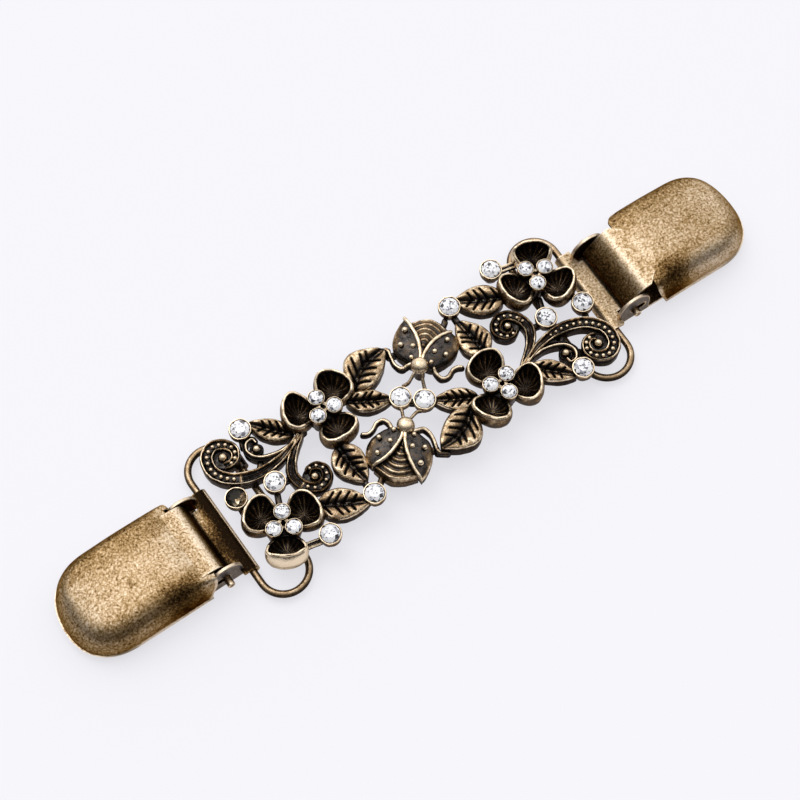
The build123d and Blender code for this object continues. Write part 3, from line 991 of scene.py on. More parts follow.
@dataclass
class Flowers:
    """Four flowers, each of three deep cup petals on a hub."""

    reach: float = 4.25
    half_long: float = 3.1
    half_wide: float = 3.95
    mouth: float = 0.95
    curl: float = 0.25
    rim: float = 6.75
    rim_rise: float = 0.8
    wall: float = 0.46
    pit: float = 3.4
    flutes: int = 15
    flute_depth: float = 0.26
    painted_glint: float = 0.5
    around: int = 136
    edge_bearing: float = 240.0
    edge_rubbed: float = 0.70
    hub_radius: float = 2.9
    hub_top: float = 5.0
    web_ring: float = 1.35
    web_top: float = 6.35
    wall_rings: tuple[Triple, ...] = (
        (0.10, 0.80, 0.0), (0.22, 0.91, 0.1), (0.38, 0.99, 0.25),
        (0.55, 1.02, 0.42), (0.72, 1.015, 0.60), (0.87, 0.98, 0.72),
    )
    lip_rings: Plan = ((-70, 0.98), (-30, 0.98), (10, 0.98), (50, 0.98), (90, 0.98), (125, 0.85), (165, 0.45))
    pit_rings: Plan = (
        (0.14, 0.99), (0.25, 0.965), (0.4, 0.93), (0.55, 0.87),
        (0.7, 0.78), (0.83, 0.66), (0.93, 0.48), (0.98, 0.26),
    )

    def outline(self, turn: np.ndarray) -> tuple[np.ndarray, np.ndarray]:
        """The petal's plan outline about its own middle.

        Args:
            turn: Angles, 0 away from the flower's heart.

        Returns:
            The outward and the sideways coordinates.
        """
        outward = self.half_long * np.cos(turn)
        narrow = 1.0 - 0.30 * ((1 - np.cos(turn)) / 2) ** 1.6
        square = np.sign(np.sin(turn)) * np.abs(np.sin(turn)) ** 0.92
        return outward, self.half_wide * square * narrow

    def petal(self, shape: Shape, heart: Sequence[float], bearing: float, rubbed: float) -> None:
        """Adds one petal to a shape.

        Args:
            shape: The shape it is added to.
            heart: The flower's heart.
            bearing: The petal's direction, in degrees.
            rubbed: How much of the blackening its outer wall has lost.
        """
        turn = np.arange(self.around) * 2 * math.pi / self.around
        outward, across = self.outline(turn)
        low = 0.5 - 0.5 * np.cos(turn)
        rim = self.rim + self.rim_rise * np.cos(turn) - 1.1 * low**4
        rim += 0.04 * np.sin(5 * turn + bearing) + 0.03 * np.sin(9 * turn - 2 * bearing)
        shown = 1.0 - 0.85 * ease(low, 0.80, 0.96)
        rows, shades = [], []

        def ring(
            scale: float,
            inset: np.ndarray | float,
            z: np.ndarray | float,
            wear: np.ndarray | float,
            curled: float = 0.0,
        ) -> None:
            """Adds one ring of the cup."""
            o, a = outward * scale, across * scale
            length = np.maximum(np.hypot(o, a), TINY)
            o, a = o * (1 - inset / length), a * (1 - inset / length)
            o = o - curled * (self.curl + rubbed) * ease(np.cos(turn), -0.2, 1.0)
            rows.append(joined(self.reach + o, a, z))
            shades.append(np.broadcast_to(wear, turn.shape))

        foot = CAST_FOOT
        depth = rim - foot
        ring(0.70, 0.0, foot, 0.05)
        ring(0.78, 0.0, foot + 0.02 * depth, 0.10)
        for share, scale, wear in self.wall_rings:
            worn = 0.16 + wear * 0.66 + rubbed * ease(np.array(share), 0.1, 0.4) - 0.2 * low
            ring(scale, 0.0, foot + share * depth, worn, float(ease(np.array(share), 0.35, 0.95)))
        half = self.wall / 2
        for angle, wear in self.lip_rings:
            lean = math.radians(angle)
            z = rim - half + half * 1.1 * math.sin(lean)
            ring(self.mouth, half - half * 1.15 * math.cos(lean), z, wear * shown, 1.0)
        ribs = 0.5 + 0.5 * np.cos(turn * self.flutes)
        pit_depth = rim - self.pit
        for share, scale in self.pit_rings:
            deep = ease(np.array(share), 0.1, 0.5)
            # Painted glints: bright streaks on the flute crests near the pit's floor, standing for
            # highlights.
            painted_glint = ribs**3 * ridge(np.array(share - 0.64), 0.26) * (0.5 + 0.5 * np.sin(3.1 * turn + bearing))
            worn = 0.12 + 0.36 * ribs * deep + self.painted_glint * painted_glint
            inset = self.wall + self.flute_depth * ribs * deep
            ring(scale * self.mouth, inset, rim - share * pit_depth, worn, 1 - share)
        ring(0.1, 0.0, self.pit - 0.02, 0.15)
        faces = shape.barrel(len(rows), self.around, True)
        shape.add(swung(np.stack(rows), bearing, heart), np.stack(shades), faces)

    def hub(self, shape: Shape, heart: Sequence[float], bearing: float) -> None:
        """Adds the dark heart of a flower and the webs that tie its stone cups."""
        top = self.hub_top - CAST_FOOT
        profile = [
            (1.2, 0.0, 0.05), (2.7, 0.02, 0.05), (self.hub_radius, 0.6, 0.1), (2.3, 1.7, 0.1),
            (1.6, 2.5, 0.15), (0.6, top, 0.15), (0.05, top, 0.15),
        ]
        shape.lathe(profile, (*heart, CAST_FOOT), 28)
        ends = [(*polar(heart, self.web_ring, bearing + turn), self.web_top) for turn in (0, 120, 240)]
        for k in range(3):
            shape.tube(np.linspace(ends[k], ends[(k + 1) % 3], 7), 0.36, 0.92, 8, flat=1.3, under=0.1)

    def build(self) -> Shape:
        """The petals and hubs of all four flowers."""
        half = Shape()
        for heart, bearing in FLOWERS:
            for turn in (60, 180, 300):
                at_edge = abs(bearing + turn - self.edge_bearing) < 12
                self.petal(half, heart, bearing + turn, self.edge_rubbed if at_edge else 0.0)
            self.hub(half, heart, bearing)
        return half.with_half_turn()


@dataclass(frozen=True)
class LeafPlan:
    """Where one leaf lies: its base, its tip, half its width and its heights."""

    base: Spot
    tip: Spot
    half: float
    low: float
    high: float
    bow: float = 0.0
    pairs: int = 4
    broad: float = 0.85


@dataclass
class Leaves:
    """Ten veined leaves."""

    plans: tuple[LeafPlan, ...] = (
        LeafPlan((-20.1, 6.3), (-25.7, 12.4), 2.05, 4.7, 5.0, 0.1),
        LeafPlan((-7.3, 7.2), (1.2, 10.4), 3.45, 5.2, 5.8, 1.0, 4, 0.85),
        LeafPlan((-9.6, 6.1), (-2.8, 2.1), 2.1, 5.0, 4.9, 0.0, 4),
        LeafPlan((-15.3, 0.2), (-14.8, -7.9), 2.95, 5.1, 4.7, -0.2, 4, 0.75),
        LeafPlan((-24.2, -6.8), (-16.3, -11.2), 2.85, 5.1, 4.9, 0.0, 4, 0.8),
    )
    rows: int = 110
    columns: int = 45
    vein_half: float = 0.18
    vein_depth: float = 0.38
    vein_slant: float = 56.0
    rim_share: float = 0.84

    def leaf(self, shape: Shape, plan: LeafPlan) -> None:
        """Adds one leaf to a shape."""
        base, tip = np.array(plan.base), np.array(plan.tip)
        length = float(np.linalg.norm(tip - base))
        u = np.linspace(0.0, 1.0, self.rows)
        line = base + (tip - base) * u[:, None]
        left = np.array([-(tip - base)[1], (tip - base)[0]]) / length
        line = line + left * (plan.bow * np.sin(math.pi * u))[:, None]
        half = plan.half * np.sin(math.pi * u**plan.broad) ** 0.72
        half = np.maximum(half, 0.02)
        z = plan.low + (plan.high - plan.low) * u
        near = at_height(line - left * half[:, None], z)
        far = at_height(line + left * half[:, None], z)
        slant = math.radians(self.vein_slant)

        rough = np.random.default_rng(int(abs(base[0] * 10)))
        shift = rough.uniform(-0.22, 0.22, (2, plan.pairs))
        reach = rough.uniform(-0.12, 0.06, (2, plan.pairs))

        def lie(us: np.ndarray, vs: np.ndarray) -> tuple[np.ndarray, np.ndarray, np.ndarray]:
            """The share of the way out, how strongly a side vein cuts, and the distance from the midrib."""
            out = np.abs(2 * vs - 1)
            off = out * np.interp(us, u, half)
            run = us * length
            cut = np.zeros(us.shape)
            for side in (0, 1):
                here = (vs > 0.5) == bool(side)
                for k in range(plan.pairs):
                    start = length * (0.12 + 0.66 * k / plan.pairs) + 0.3 * side + shift[side, k]
                    off_line = (run - start) * math.sin(slant) - off * math.cos(slant)
                    fade_from = self.rim_share - 0.16 + reach[side, k]
                    ends = 1 - ease(out, fade_from, self.rim_share + reach[side, k])
                    wide = self.vein_half * (1.25 - 0.45 * out)
                    cut = np.maximum(cut, np.where(here, ridge(off_line, wide) * ends, 0.0))
            return out, cut, off

        def rise(us: np.ndarray, vs: np.ndarray) -> np.ndarray:
            """The leaf's relief."""
            out, cut, off = lie(us, vs)
            trench = ridge(off, 0.36) * 0.50 - ridge(off, 0.15) * 0.42
            ends = ease(us, 0.0, 0.06) * ease(1 - us, 0.0, 0.05)
            pads = 0.30 * np.sin(np.clip(out, 0, 1) * math.pi) - 0.30 * (1 - out) ** 2
            lip = -0.25 * ease(out, 0.92, 1.0)
            return (pads - cut * self.vein_depth - trench) * ends + lip - 0.35 * (1 - ends)

        def wear(us: np.ndarray, vs: np.ndarray) -> np.ndarray:
            """Bright pads and rim, dark veins."""
            out, cut, off = lie(us, vs)
            dark = np.maximum(ease(cut, 0.18, 0.72), 0.95 * ridge(off, 0.38))
            pad = 0.42 + 0.38 * ease(out, 0.10, 0.65) + 0.12 * ease(out, 0.86, 0.95)
            pad -= 0.25 * ease(us, 0.20, 0.0)
            return (pad - 0.05) * (1 - dark) + 0.55 * ridge(off, 0.13) * ease(us, 0.02, 0.2)

        shape.slab(near, far, CAST_FOOT + 0.2, self.columns, rise, wear, 0.05)

    def build(self) -> Shape:
        """All ten leaves."""
        half = Shape()
        for plan in self.plans:
            self.leaf(half, plan)
        return half.with_half_turn()


@dataclass(frozen=True)
class ScrollPlan:
    """One scroll: its middle line, width where widest, top, where its beads begin on each half, how narrow
    its band starts, and how far painted shade darkens the rails of its inner coil, which also makes its beads
    smaller.
    """

    line: Plan
    width: float
    top: float
    bead_from: float
    other_from: float
    start_share: float
    painted_coil_shade: float


@dataclass
class Scrolls:
    """Beaded scrolls between raised rails, and the small plain curls beside them."""

    plans: tuple[ScrollPlan, ...] = (
        ScrollPlan(
            (
                (-18.9, 6.0), (-19.6, 5.6), (-24.2, 3.9), (-28.9, 3.6), (-32.8, 5.0), (-35.1, 7.8),
                (-34.8, 10.8), (-32.9, 12.1), (-31.0, 11.4), (-30.1, 9.9), (-30.6, 8.4), (-31.8, 7.8),
                (-33.0, 8.1),
            ),
            2.35, 5.15, 0.43, 0.22, 0.5, 0.0,
        ),
        ScrollPlan(
            (
                (-18.9, 6.2), (-19.8, 5.2), (-22.6, 3.0), (-24.3, 0.5), (-24.1, -1.9), (-22.9, -3.6),
                (-21.4, -4.1), (-19.9, -3.4), (-19.4, -1.9), (-20.1, -0.7), (-21.3, -0.35), (-22.3, -1.0),
            ),
            2.1, 5.0, 0.50, 0.42, 0.62, 0.45,
        ),
    )
    curl: Plan = (
        (-19.4, 5.7), (-20.4, 5.2), (-24.0, 4.9), (-27.2, 5.9),
        (-28.5, 7.8), (-27.9, 9.5), (-26.5, 9.7), (-26.2, 8.7),
    )
    curl_top: float = 4.95
    curl_rows: int = 80
    curl_columns: int = 13
    eyes: tuple[Triple, ...] = ((-32.4, 9.5, 5.45), (-21.5, -2.1, 5.3), (-26.8, 7.7, 5.15))
    rail: float = 0.29
    bed: float = 0.60
    bead: float = 0.38
    bead_gap: float = 1.12
    bead_stations: int = 400
    eye_sides: int = 24
    discs: tuple[float, ...] = (2.0, 2.2, 1.25)
    rows: int = 150
    columns: int = 25

    def band(self, shape: Shape, plan: ScrollPlan) -> None:
        """Adds one scroll's band and rails to a shape."""
        line = smooth_line(plan.line, self.rows)
        u = np.linspace(0.0, 1.0, self.rows)
        half = 0.5 * plan.width * (plan.start_share + (1 - plan.start_share) * ease(u, 0.05, 0.4))
        half *= 1 - 0.35 * ease(u, 0.72, 1.0)
        left = sideways(line)
        near = at_height(line, plan.top) - left * half[:, None]
        far = at_height(line, plan.top) + left * half[:, None]

        def plain(us: np.ndarray) -> np.ndarray:
            """1 along the stretch without beads."""
            return 1 - ease(us, plan.bead_from - 0.03, plan.bead_from + 0.02)

        def lie(us: np.ndarray, vs: np.ndarray) -> tuple[np.ndarray, np.ndarray]:
            """Nearness to a rail's crest, and distance from the middle line."""
            off = np.abs(2 * vs - 1) * np.interp(us, u, half)
            return ridge(np.interp(us, u, half) - off - self.rail * 0.9, self.rail * 0.85), off

        def rise(us: np.ndarray, vs: np.ndarray) -> np.ndarray:
            """The relief: rails up, bed down, a thin rib along the plain stretch."""
            crest, off = lie(us, vs)
            edge = np.interp(us, u, half) - off
            rib = ridge(off, 0.15) * 0.22 * plain(us) * ease(us, 0.02, 0.2)
            lip = 0.12 * (1 - ease(edge, 0.0, 0.12))
            return (crest - 1) * self.bed + rib - lip - 0.4 * ease(us, 0.985, 1.0)

        def wear(us: np.ndarray, vs: np.ndarray) -> np.ndarray:
            """Bright rails on a black bed, the rails of the inner coil darkened by painted shade."""
            crest, off = lie(us, vs)
            rib = ridge(off, 0.16) * 0.45 * plain(us)
            bar = ridge(us - plan.bead_from, 0.008) * 0.8
            rails = 0.12 + ease(crest, 0.35, 0.9) * 0.80 * (1 - plan.painted_coil_shade * ease(us, 0.5, 0.75))
            return np.maximum(np.maximum(rails, rib), bar)

        shape.slab(near, far, CAST_FOOT, self.columns, rise, wear, 0.08, 0.03)

    def plain_curl(self, shape: Shape) -> None:
        """Adds the small curl: one bright rail on a dark web."""
        line = smooth_line(self.curl, self.curl_rows)
        half = 0.42 + 0.12 * np.sin(math.pi * np.linspace(0.0, 1.0, self.curl_rows))
        middle, out = at_height(line, self.curl_top), sideways(line) * half[:, None]

        def crest(vs: np.ndarray) -> np.ndarray:
            """Nearness to the rail, which runs along the outer side."""
            return ridge(vs - 0.38, 0.30)

        shape.slab(
            middle - out, middle + out, CAST_FOOT, self.curl_columns,
            lambda us, vs: (crest(vs) - 1) * 0.45,
            lambda us, vs: ease(crest(vs), 0.35, 0.9) * 0.96,
            0.08, 0.02,
        )

    def beads(self) -> tuple[list[Triple], list[float]]:
        """The places and radii of the small beads of both halves, the eyes among them."""
        places, sizes = [], []
        for side in (1, -1):
            for plan in self.plans:
                start = plan.bead_from if side > 0 else plan.other_from
                line = smooth_line(plan.line, self.bead_stations)
                length = float(np.linalg.norm(np.diff(line, axis=0), axis=1).sum())
                count = int(length * (0.97 - start) / self.bead_gap)
                for k in range(count):
                    share = start + 0.02 + (0.96 - start) * (k + 0.5) / count
                    x, y = line[int(share * (self.bead_stations - 1))]
                    places.append((side * x, side * y, plan.top - self.bed + 0.16))
                    grown = 0.6 + 0.4 * float(ease(np.array(share), 0.2, 0.5))
                    sizes.append(self.bead * grown * (1 - 0.25 * plan.painted_coil_shade))
            for x, y, z in self.eyes:
                places.append((side * x, side * y, z - 0.7))
                sizes.append(0.74 if z > 5.4 else 0.66)
        return places, sizes

    def eye_stems(self, shape: Shape) -> None:
        """Adds the dark discs and stems under the eyes."""
        for (x, y, z), wide in zip(self.eyes, self.discs):
            top = z - 1.15 - CAST_FOOT
            profile = [
                (0.3, 0.0, 0.0), (wide - 0.1, 0.02, 0.0), (wide, top - 0.2, 0.05), (wide - 0.2, top, 0.12),
                (0.9, top, 0.12), (0.55, top + 0.4, 0.1), (0.3, top + 0.45, 0.1),
            ]
            shape.lathe(profile, (x, y, CAST_FOOT), self.eye_sides)

    def build(self) -> Shape:
        """Both halves' scrolls and curls."""
        half = Shape()
        for plan in self.plans:
            self.band(half, plan)
        self.plain_curl(half)
        self.eye_stems(half)
        return half.with_half_turn()


@dataclass
class Ladybirds:
    """Two ladybirds with opened wing cases, their heads towards the middle."""

    head: Spot = (-4.15, -3.9)
    head_top: float = 7.95
    inner_left: Plan = ((-5.1, -4.45), (-6.4, -5.45), (-8.35, -6.25), (-10.3, -6.6), (-12.5, -6.45))
    outer_left: Plan = (
        (-4.9, -3.8), (-5.9, -2.5), (-7.9, -2.05), (-10.2, -2.25),
        (-12.0, -3.4), (-12.9, -5.1), (-12.75, -6.3),
    )
    inner_right: Plan = ((-4.85, -4.7), (-5.9, -6.25), (-6.9, -8.7), (-7.3, -11.2), (-7.4, -13.1))
    outer_right: Plan = (
        (-4.3, -4.5), (-3.2, -5.4), (-2.35, -8.0), (-2.8, -9.95),
        (-4.2, -11.6), (-6.1, -12.75), (-7.15, -13.05),
    )
    spots: tuple[Triple, ...] = (
        (-9.1, -3.05, 0.48), (-7.85, -4.65, 0.50), (-10.9, -5.2, 0.48), (-6.2, -3.3, 0.45),
        (-3.9, -6.0, 0.46), (-5.35, -7.6, 0.52), (-3.75, -9.0, 0.50), (-5.95, -10.9, 0.54),
    )
    wing_low: float = 6.3
    wing_rows: int = 72
    wing_columns: int = 25
    wing_foot: float = CAST_FOOT + 0.6
    belly_edges: tuple[Plan, Plan] = (
        ((-5.4, -5.0), (-7.5, -6.2), (-10.0, -6.75), (-12.7, -6.75)),
        ((-5.2, -5.2), (-6.3, -7.4), (-7.0, -10.0), (-7.5, -12.4)),
    )
    belly_rows: int = 110
    belly_columns: int = 41
    belly_ribs: float = 7.5
    belly_bow: float = 1.65
    belly_foot: float = CAST_FOOT + 0.4
    head_sides: int = 32
    leg_rows: int = 44
    feeler_rows: int = 30
    legs: tuple[tuple[Triple, ...], ...] = (
        (
            (-6.1, -2.4, 5.6), (-5.95, -1.5, 5.3), (-6.3, -0.35, 5.0), (-7.5, -0.05, 4.8),
            (-8.9, -0.7, 4.6), (-9.9, -0.7, 4.5), (-10.6, -0.3, 4.5),
        ),
        (
            (-3.4, -5.25, 5.8), (-2.7, -5.4, 5.6), (-1.7, -5.6, 5.2), (-1.2, -6.9, 5.0),
            (-1.4, -8.4, 4.8), (-1.8, -9.7, 4.6), (-1.65, -10.5, 4.5),
        ),
    )
    feelers: tuple[tuple[Triple, ...], ...] = (
        ((-3.7, -3.0, 7.0), (-3.55, -2.3, 6.6), (-2.95, -1.0, 5.7), (-2.6, 0.2, 4.9)),
        ((-3.2, -3.5, 7.0), (-2.65, -3.3, 6.6), (-1.0, -2.65, 5.7), (-0.1, -2.8, 5.2)),
    )

    def wing(self, shape: Shape, inner: Plan, outer: Plan, flip: bool) -> None:
        """Adds one wing case with the rail along its inner edge."""
        rows = self.wing_rows
        a, b = smooth_line(inner, rows), smooth_line(outer, rows)
        u = np.linspace(0.0, 1.0, rows)
        z_in = self.wing_low + 0.35 - 0.9 * u**2
        z_out = self.wing_low - 0.5 - 1.0 * u**2
        near, far = at_height(a, z_in), at_height(b, z_out)

        def rise(us: np.ndarray, vs: np.ndarray) -> np.ndarray:
            """A low dome with rolled outer edge."""
            dome = 0.42 * np.sin(math.pi * vs) * np.sin(math.pi * np.clip(us, 0.02, 0.98)) ** 0.6
            return dome - 0.25 * ease(vs, 0.9, 1.0)

        def wear(us: np.ndarray, vs: np.ndarray) -> np.ndarray:
            """Dark middle, rubbed outer edge near the tail."""
            dirty = 0.5 * (np.sin(us * 17.0 + vs * 5.0) * np.sin(vs * 13.0 - us * 4.0))
            outside = 0.55 * ease(vs, 0.55, 0.98) * ease(us, 0.30, 0.8)
            return 0.26 + 0.05 * dirty + outside + 0.3 * ease(us, 0.86, 1.0)

        if flip:
            shape.slab(
                far, near, self.wing_foot, self.wing_columns,
                lambda us, vs: rise(us, 1 - vs),
                lambda us, vs: wear(us, 1 - vs),
                0.12,
            )
        else:
            shape.slab(near, far, self.wing_foot, self.wing_columns, rise, wear, 0.12)
        rail = at_height(a, z_in + 0.12)
        rail[:, 2] -= 0.25 * ease(u, 0.9, 1.0)
        shape.tube(rail, 0.30 + 0.06 * np.sin(math.pi * u), 0.98, 10, under=0.1)

    def belly(self, shape: Shape) -> None:
        """Adds the ribbed belly that shows between the wing cases."""
        rows, columns = self.belly_rows, self.belly_columns
        a, b = smooth_line(self.belly_edges[0], rows), smooth_line(self.belly_edges[1], rows)
        u = np.linspace(0.0, 1.0, rows)
        z = 6.0 - 1.1 * u**2.2

        def ribs(us: np.ndarray) -> np.ndarray:
            """The ribs round the head, 1 on a crest and -1 in a trough."""
            return np.cos(us * 2 * math.pi * self.belly_ribs)

        def rise(us: np.ndarray, vs: np.ndarray) -> np.ndarray:
            """Ribs, and a round end."""
            round_back = 0.5 * np.sin(math.pi * vs) * ease(us, 0.0, 0.3)
            return 0.12 * ribs(us) + round_back - 0.7 * ease(us, 0.92, 1.0)

        def wear(us: np.ndarray, vs: np.ndarray) -> np.ndarray:
            """Bright crests, dark troughs, duller towards the sides."""
            crest = 0.5 + 0.5 * ribs(us)
            middle = (0.38 + 0.42 * crest) * (0.7 + 0.3 * np.sin(math.pi * vs))
            return middle * (0.6 + 0.4 * ease(us, 0.1, 0.5)) + 0.15 * ease(us, 0.8, 1.0)

        near, far = at_height(b, z), at_height(a, z)
        middle_out = headings(at_height((a + b) / 2, 0.0))
        across = np.linspace(0.0, 1.0, columns)
        bow = np.sin(math.pi * across)
        top = near[:, None] * (1 - across)[None, :, None] + far[:, None] * across[None, :, None]
        top += middle_out[:, None] * (bow[None, :, None] * (self.belly_bow * u)[:, None, None])
        us, vs = np.meshgrid(u, across, indexing="ij")
        top[..., 2] += rise(us, vs)
        faces = [face[::-1] for face in shape.quads(rows, columns)]
        last, start = (rows - 1) * columns, rows * columns
        faces += [[start + j, start + j + 1, last + j + 1, last + j] for j in range(columns - 1)]
        side_a = [i * columns for i in range(rows)]
        side_b = [i * columns + columns - 1 for i in range(rows)]
        foot = start + columns
        for i in range(rows - 1):
            faces.append([side_a[i], side_a[i + 1], foot + i + 1, foot + i])
            faces.append([side_b[i], foot + rows + i, foot + rows + i + 1, side_b[i + 1]])
            faces.append([foot + i, foot + i + 1, foot + rows + i + 1, foot + rows + i])
        faces.append([start + j for j in range(columns)])
        feet = [at_height(edge, self.belly_foot) for edge in (top[-1], top[:, 0], top[:, -1])]
        shade = [np.clip(wear(us, vs), 0, 1).ravel(), np.full(columns, 0.30), np.full(2 * rows, 0.08)]
        shape.add(np.vstack([top.reshape(-1, 3), *feet]), np.concatenate(shade), faces)

    def build(self) -> Shape:
        """Both ladybirds."""
        half = Shape()
        self.wing(half, self.inner_left, self.outer_left, False)
        self.wing(half, self.inner_right, self.outer_right, True)
        self.belly(half)
        x, y = self.head
        profile = [
            (0.8, 0.0, 0.05), (0.95, 0.05, 0.05), (1.0, 2.6, 0.08), (1.35, 3.3, 0.15), (1.53, 4.0, 0.45),
        ]
        for angle in (5, 20, 35, 50, 65, 80):
            lean = math.radians(angle)
            profile.append((1.56 * math.cos(lean), 4.2 + 1.43 * math.sin(lean), 0.97))
        profile.append((0.04, self.head_top - CAST_FOOT, 0.97))
        half.lathe(profile, (x, y, CAST_FOOT), self.head_sides)
        for leg in self.legs:
            line, radii = smooth_line(leg, self.leg_rows), np.linspace(0.38, 0.31, self.leg_rows)
            half.tube(line, radii, 0.88, 12, under=0.05, crest=(0.4, 0.95))
            half.tube(line - (0, 0, 0.9), 0.46, 0.1, 8, flat=1.6)
        for feeler in self.feelers:
            line, radii = smooth_line(feeler, self.feeler_rows), np.linspace(0.28, 0.34, self.feeler_rows)
            half.tube(line, radii, 0.82, 12, under=0.08, crest=(0.4, 0.95))
        return half.with_half_turn()


@dataclass
class Bars:
    """The low bars that tie the motifs together, and the eyes on the back that hold the rings."""

    links: tuple[Link, ...] = (
        ((-29.4, -3.4), (-27.9, 0.0), 4.0), ((-27.72, 0.60), (-24.6, 0.2), 4.0),
        ((-34.7, -0.6), (-34.64, 1.2), 4.0), ((-34.64, 2.4), (-33.6, 4.9), 4.2),
        ((-25.6, 11.5), (-27.0, 11.9), 4.4), ((-27.5, 11.5), (-28.4, 9.4), 4.4),
        ((-15.0, -7.2), (-15.16, -10.00), 4.4), ((-16.8, -11.0), (-15.8, -10.8), 4.6),
        ((-20.2, 5.5), (-18.4, 5.9), 4.4), ((-12.0, -4.4), (-15.2, -4.6), 4.2),
        ((-1.4, 1.2), (1.4, -1.2), 4.2), ((-1.9, 1.7), (-3.2, 2.4), 4.4),
        ((-1.6, -9.4), (-4.2, -8.6), 4.0), ((-27.2, 5.9), (-28.9, 3.6), 3.8),
        ((-26.8, 7.7), (-28.2, 7.7), 4.1), ((-13.4, -9.4), (-11.6, -8.0), 4.2),
        ((-1.9, -10.2), (-0.6, -11.2), 4.4),
    )
    width: float = 0.55
    twin: Link = ((-30.0, -11.3), (-26.6, -12.1), 4.1)
    twin_apart: float = 0.42
    lug_x: float = 30.1
    lug_places: tuple[float, float] = (6.8, -8.3)
    lug_half: float = 1.2
    lug_bore: float = 0.75
    lug_wall: float = 0.50
    lug_sides: int = 32
    wire_z: float = 1.3

    def bar(self, shape: Shape, start: Sequence[float], end: Sequence[float], top: float) -> None:
        """Adds one round-topped bar."""
        line = np.linspace([*start, top - 0.5], [*end, top - 0.5], 8)
        shape.tube(line, self.width, 0.36, 10, flat=0.9, under=0.02)
        shape.tube(line - (0, 0, 0.65), self.width * 1.08, 0.05, 8, flat=1.0)

    def lug(self, shape: Shape, heading: float, pull: float, y: float) -> None:
        """Adds one eye for a ring's inner bar."""
        outer = self.lug_bore + self.lug_wall
        turn = np.linspace(0, 2 * math.pi, self.lug_sides + 1)[:-1]
        rows = []
        for radius, across in ((self.lug_bore, -1), (outer, -1), (outer, 1), (self.lug_bore, 1)):
            top = np.where(np.sin(turn) > 0.35, 1.25, 1.0) if radius == outer else 1.0
            x = self.lug_x + pull + radius * np.cos(turn)
            z = self.wire_z + radius * np.sin(turn) * top
            rows.append(joined(x, y + across * self.lug_half, z))
        shape.add(swung(np.stack(rows), heading), 0.35, shape.quads(4, self.lug_sides, True, True))

    def build(self) -> Shape:
        """All bars and eyes."""
        half = Shape()
        for start, end, top in self.links:
            self.bar(half, start, end, top)
        start, end, top = np.array(self.twin[0]), np.array(self.twin[1]), self.twin[2]
        left = np.array([-(end - start)[1], (end - start)[0]]) / np.linalg.norm(end - start)
        for side in (-self.twin_apart, self.twin_apart):
            near, far = start + left * side, end + left * side
            half.tube(np.linspace((*near, top - 0.25), (*far, top - 0.25), 8), 0.22, 0.95, 8)
        half.tube(np.linspace((*start, top - 0.8), (*end, top - 0.8), 8), 0.62, 0.12, 8, flat=0.8)
        both = half.with_half_turn()
        for end in ENDS:
            for y in self.lug_places:
                self.lug(both, end.heading, end.pull, y)
        return both


@dataclass
class Cups:
    """The turned cups that hold the stones."""

    single: float = 1.66
    trio: float = 1.24
    single_top: float = 6.0
    trio_top: float = 7.4
    trio_ring: float = 1.945
    single_wall: float = 0.31
    trio_wall: float = 0.25
    sides: int = 40

    def places(self) -> tuple[list[Triple], list[float]]:
        """Every cup's girdle place and stone radius, on both halves; the foil-less stone's is last."""
        spots: list[tuple[float, float, float, float]] = [(*p, self.single_top, self.single) for p in SINGLES]
        for heart, bearing in FLOWERS:
            for turn in (0, 120, 240):
                spots.append((*polar(heart, self.trio_ring, bearing + turn), self.trio_top, self.trio))
        both = spots + [(-x, -y, z, r) for x, y, z, r in spots]
        x, y = EDGE_STONE
        both += [(-x, -y, self.single_top, self.single), (x, y, self.single_top, self.single)]
        return [(x, y, z - 0.3 * r) for x, y, z, r in both], [r for _, _, _, r in both]

    def build(self) -> Shape:
        """All cups."""
        cups = Shape()
        for (x, y, z), r in zip(*self.places()):
            out = r + (self.single_wall if r > self.trio else self.trio_wall)
            down = z - CAST_FOOT
            profile = [
                (0.5 * out, -down, 0.05), (0.62 * out, -down + 0.03, 0.1), (0.78 * out, -0.62 * down, 0.12),
                (0.95 * out, -1.5, 0.15), (0.985 * out, -1.1, 0.30), (out, -0.40, 0.55),
                (out - 0.01, -0.08, 0.75), (out - 0.07, 0.08, 1.0), (r + 0.12, 0.10, 1.0),
                (r + 0.05, 0.0, 0.5), (r - 0.02, -0.08, 0.05), (r - 0.02, -0.3, 0.05),
                (0.9 * r, -0.75 * r, 0.1), (0.1, -0.8 * r, 0.1),
            ]
            cups.lathe(profile, (x, y, z), self.sides)
        return cups


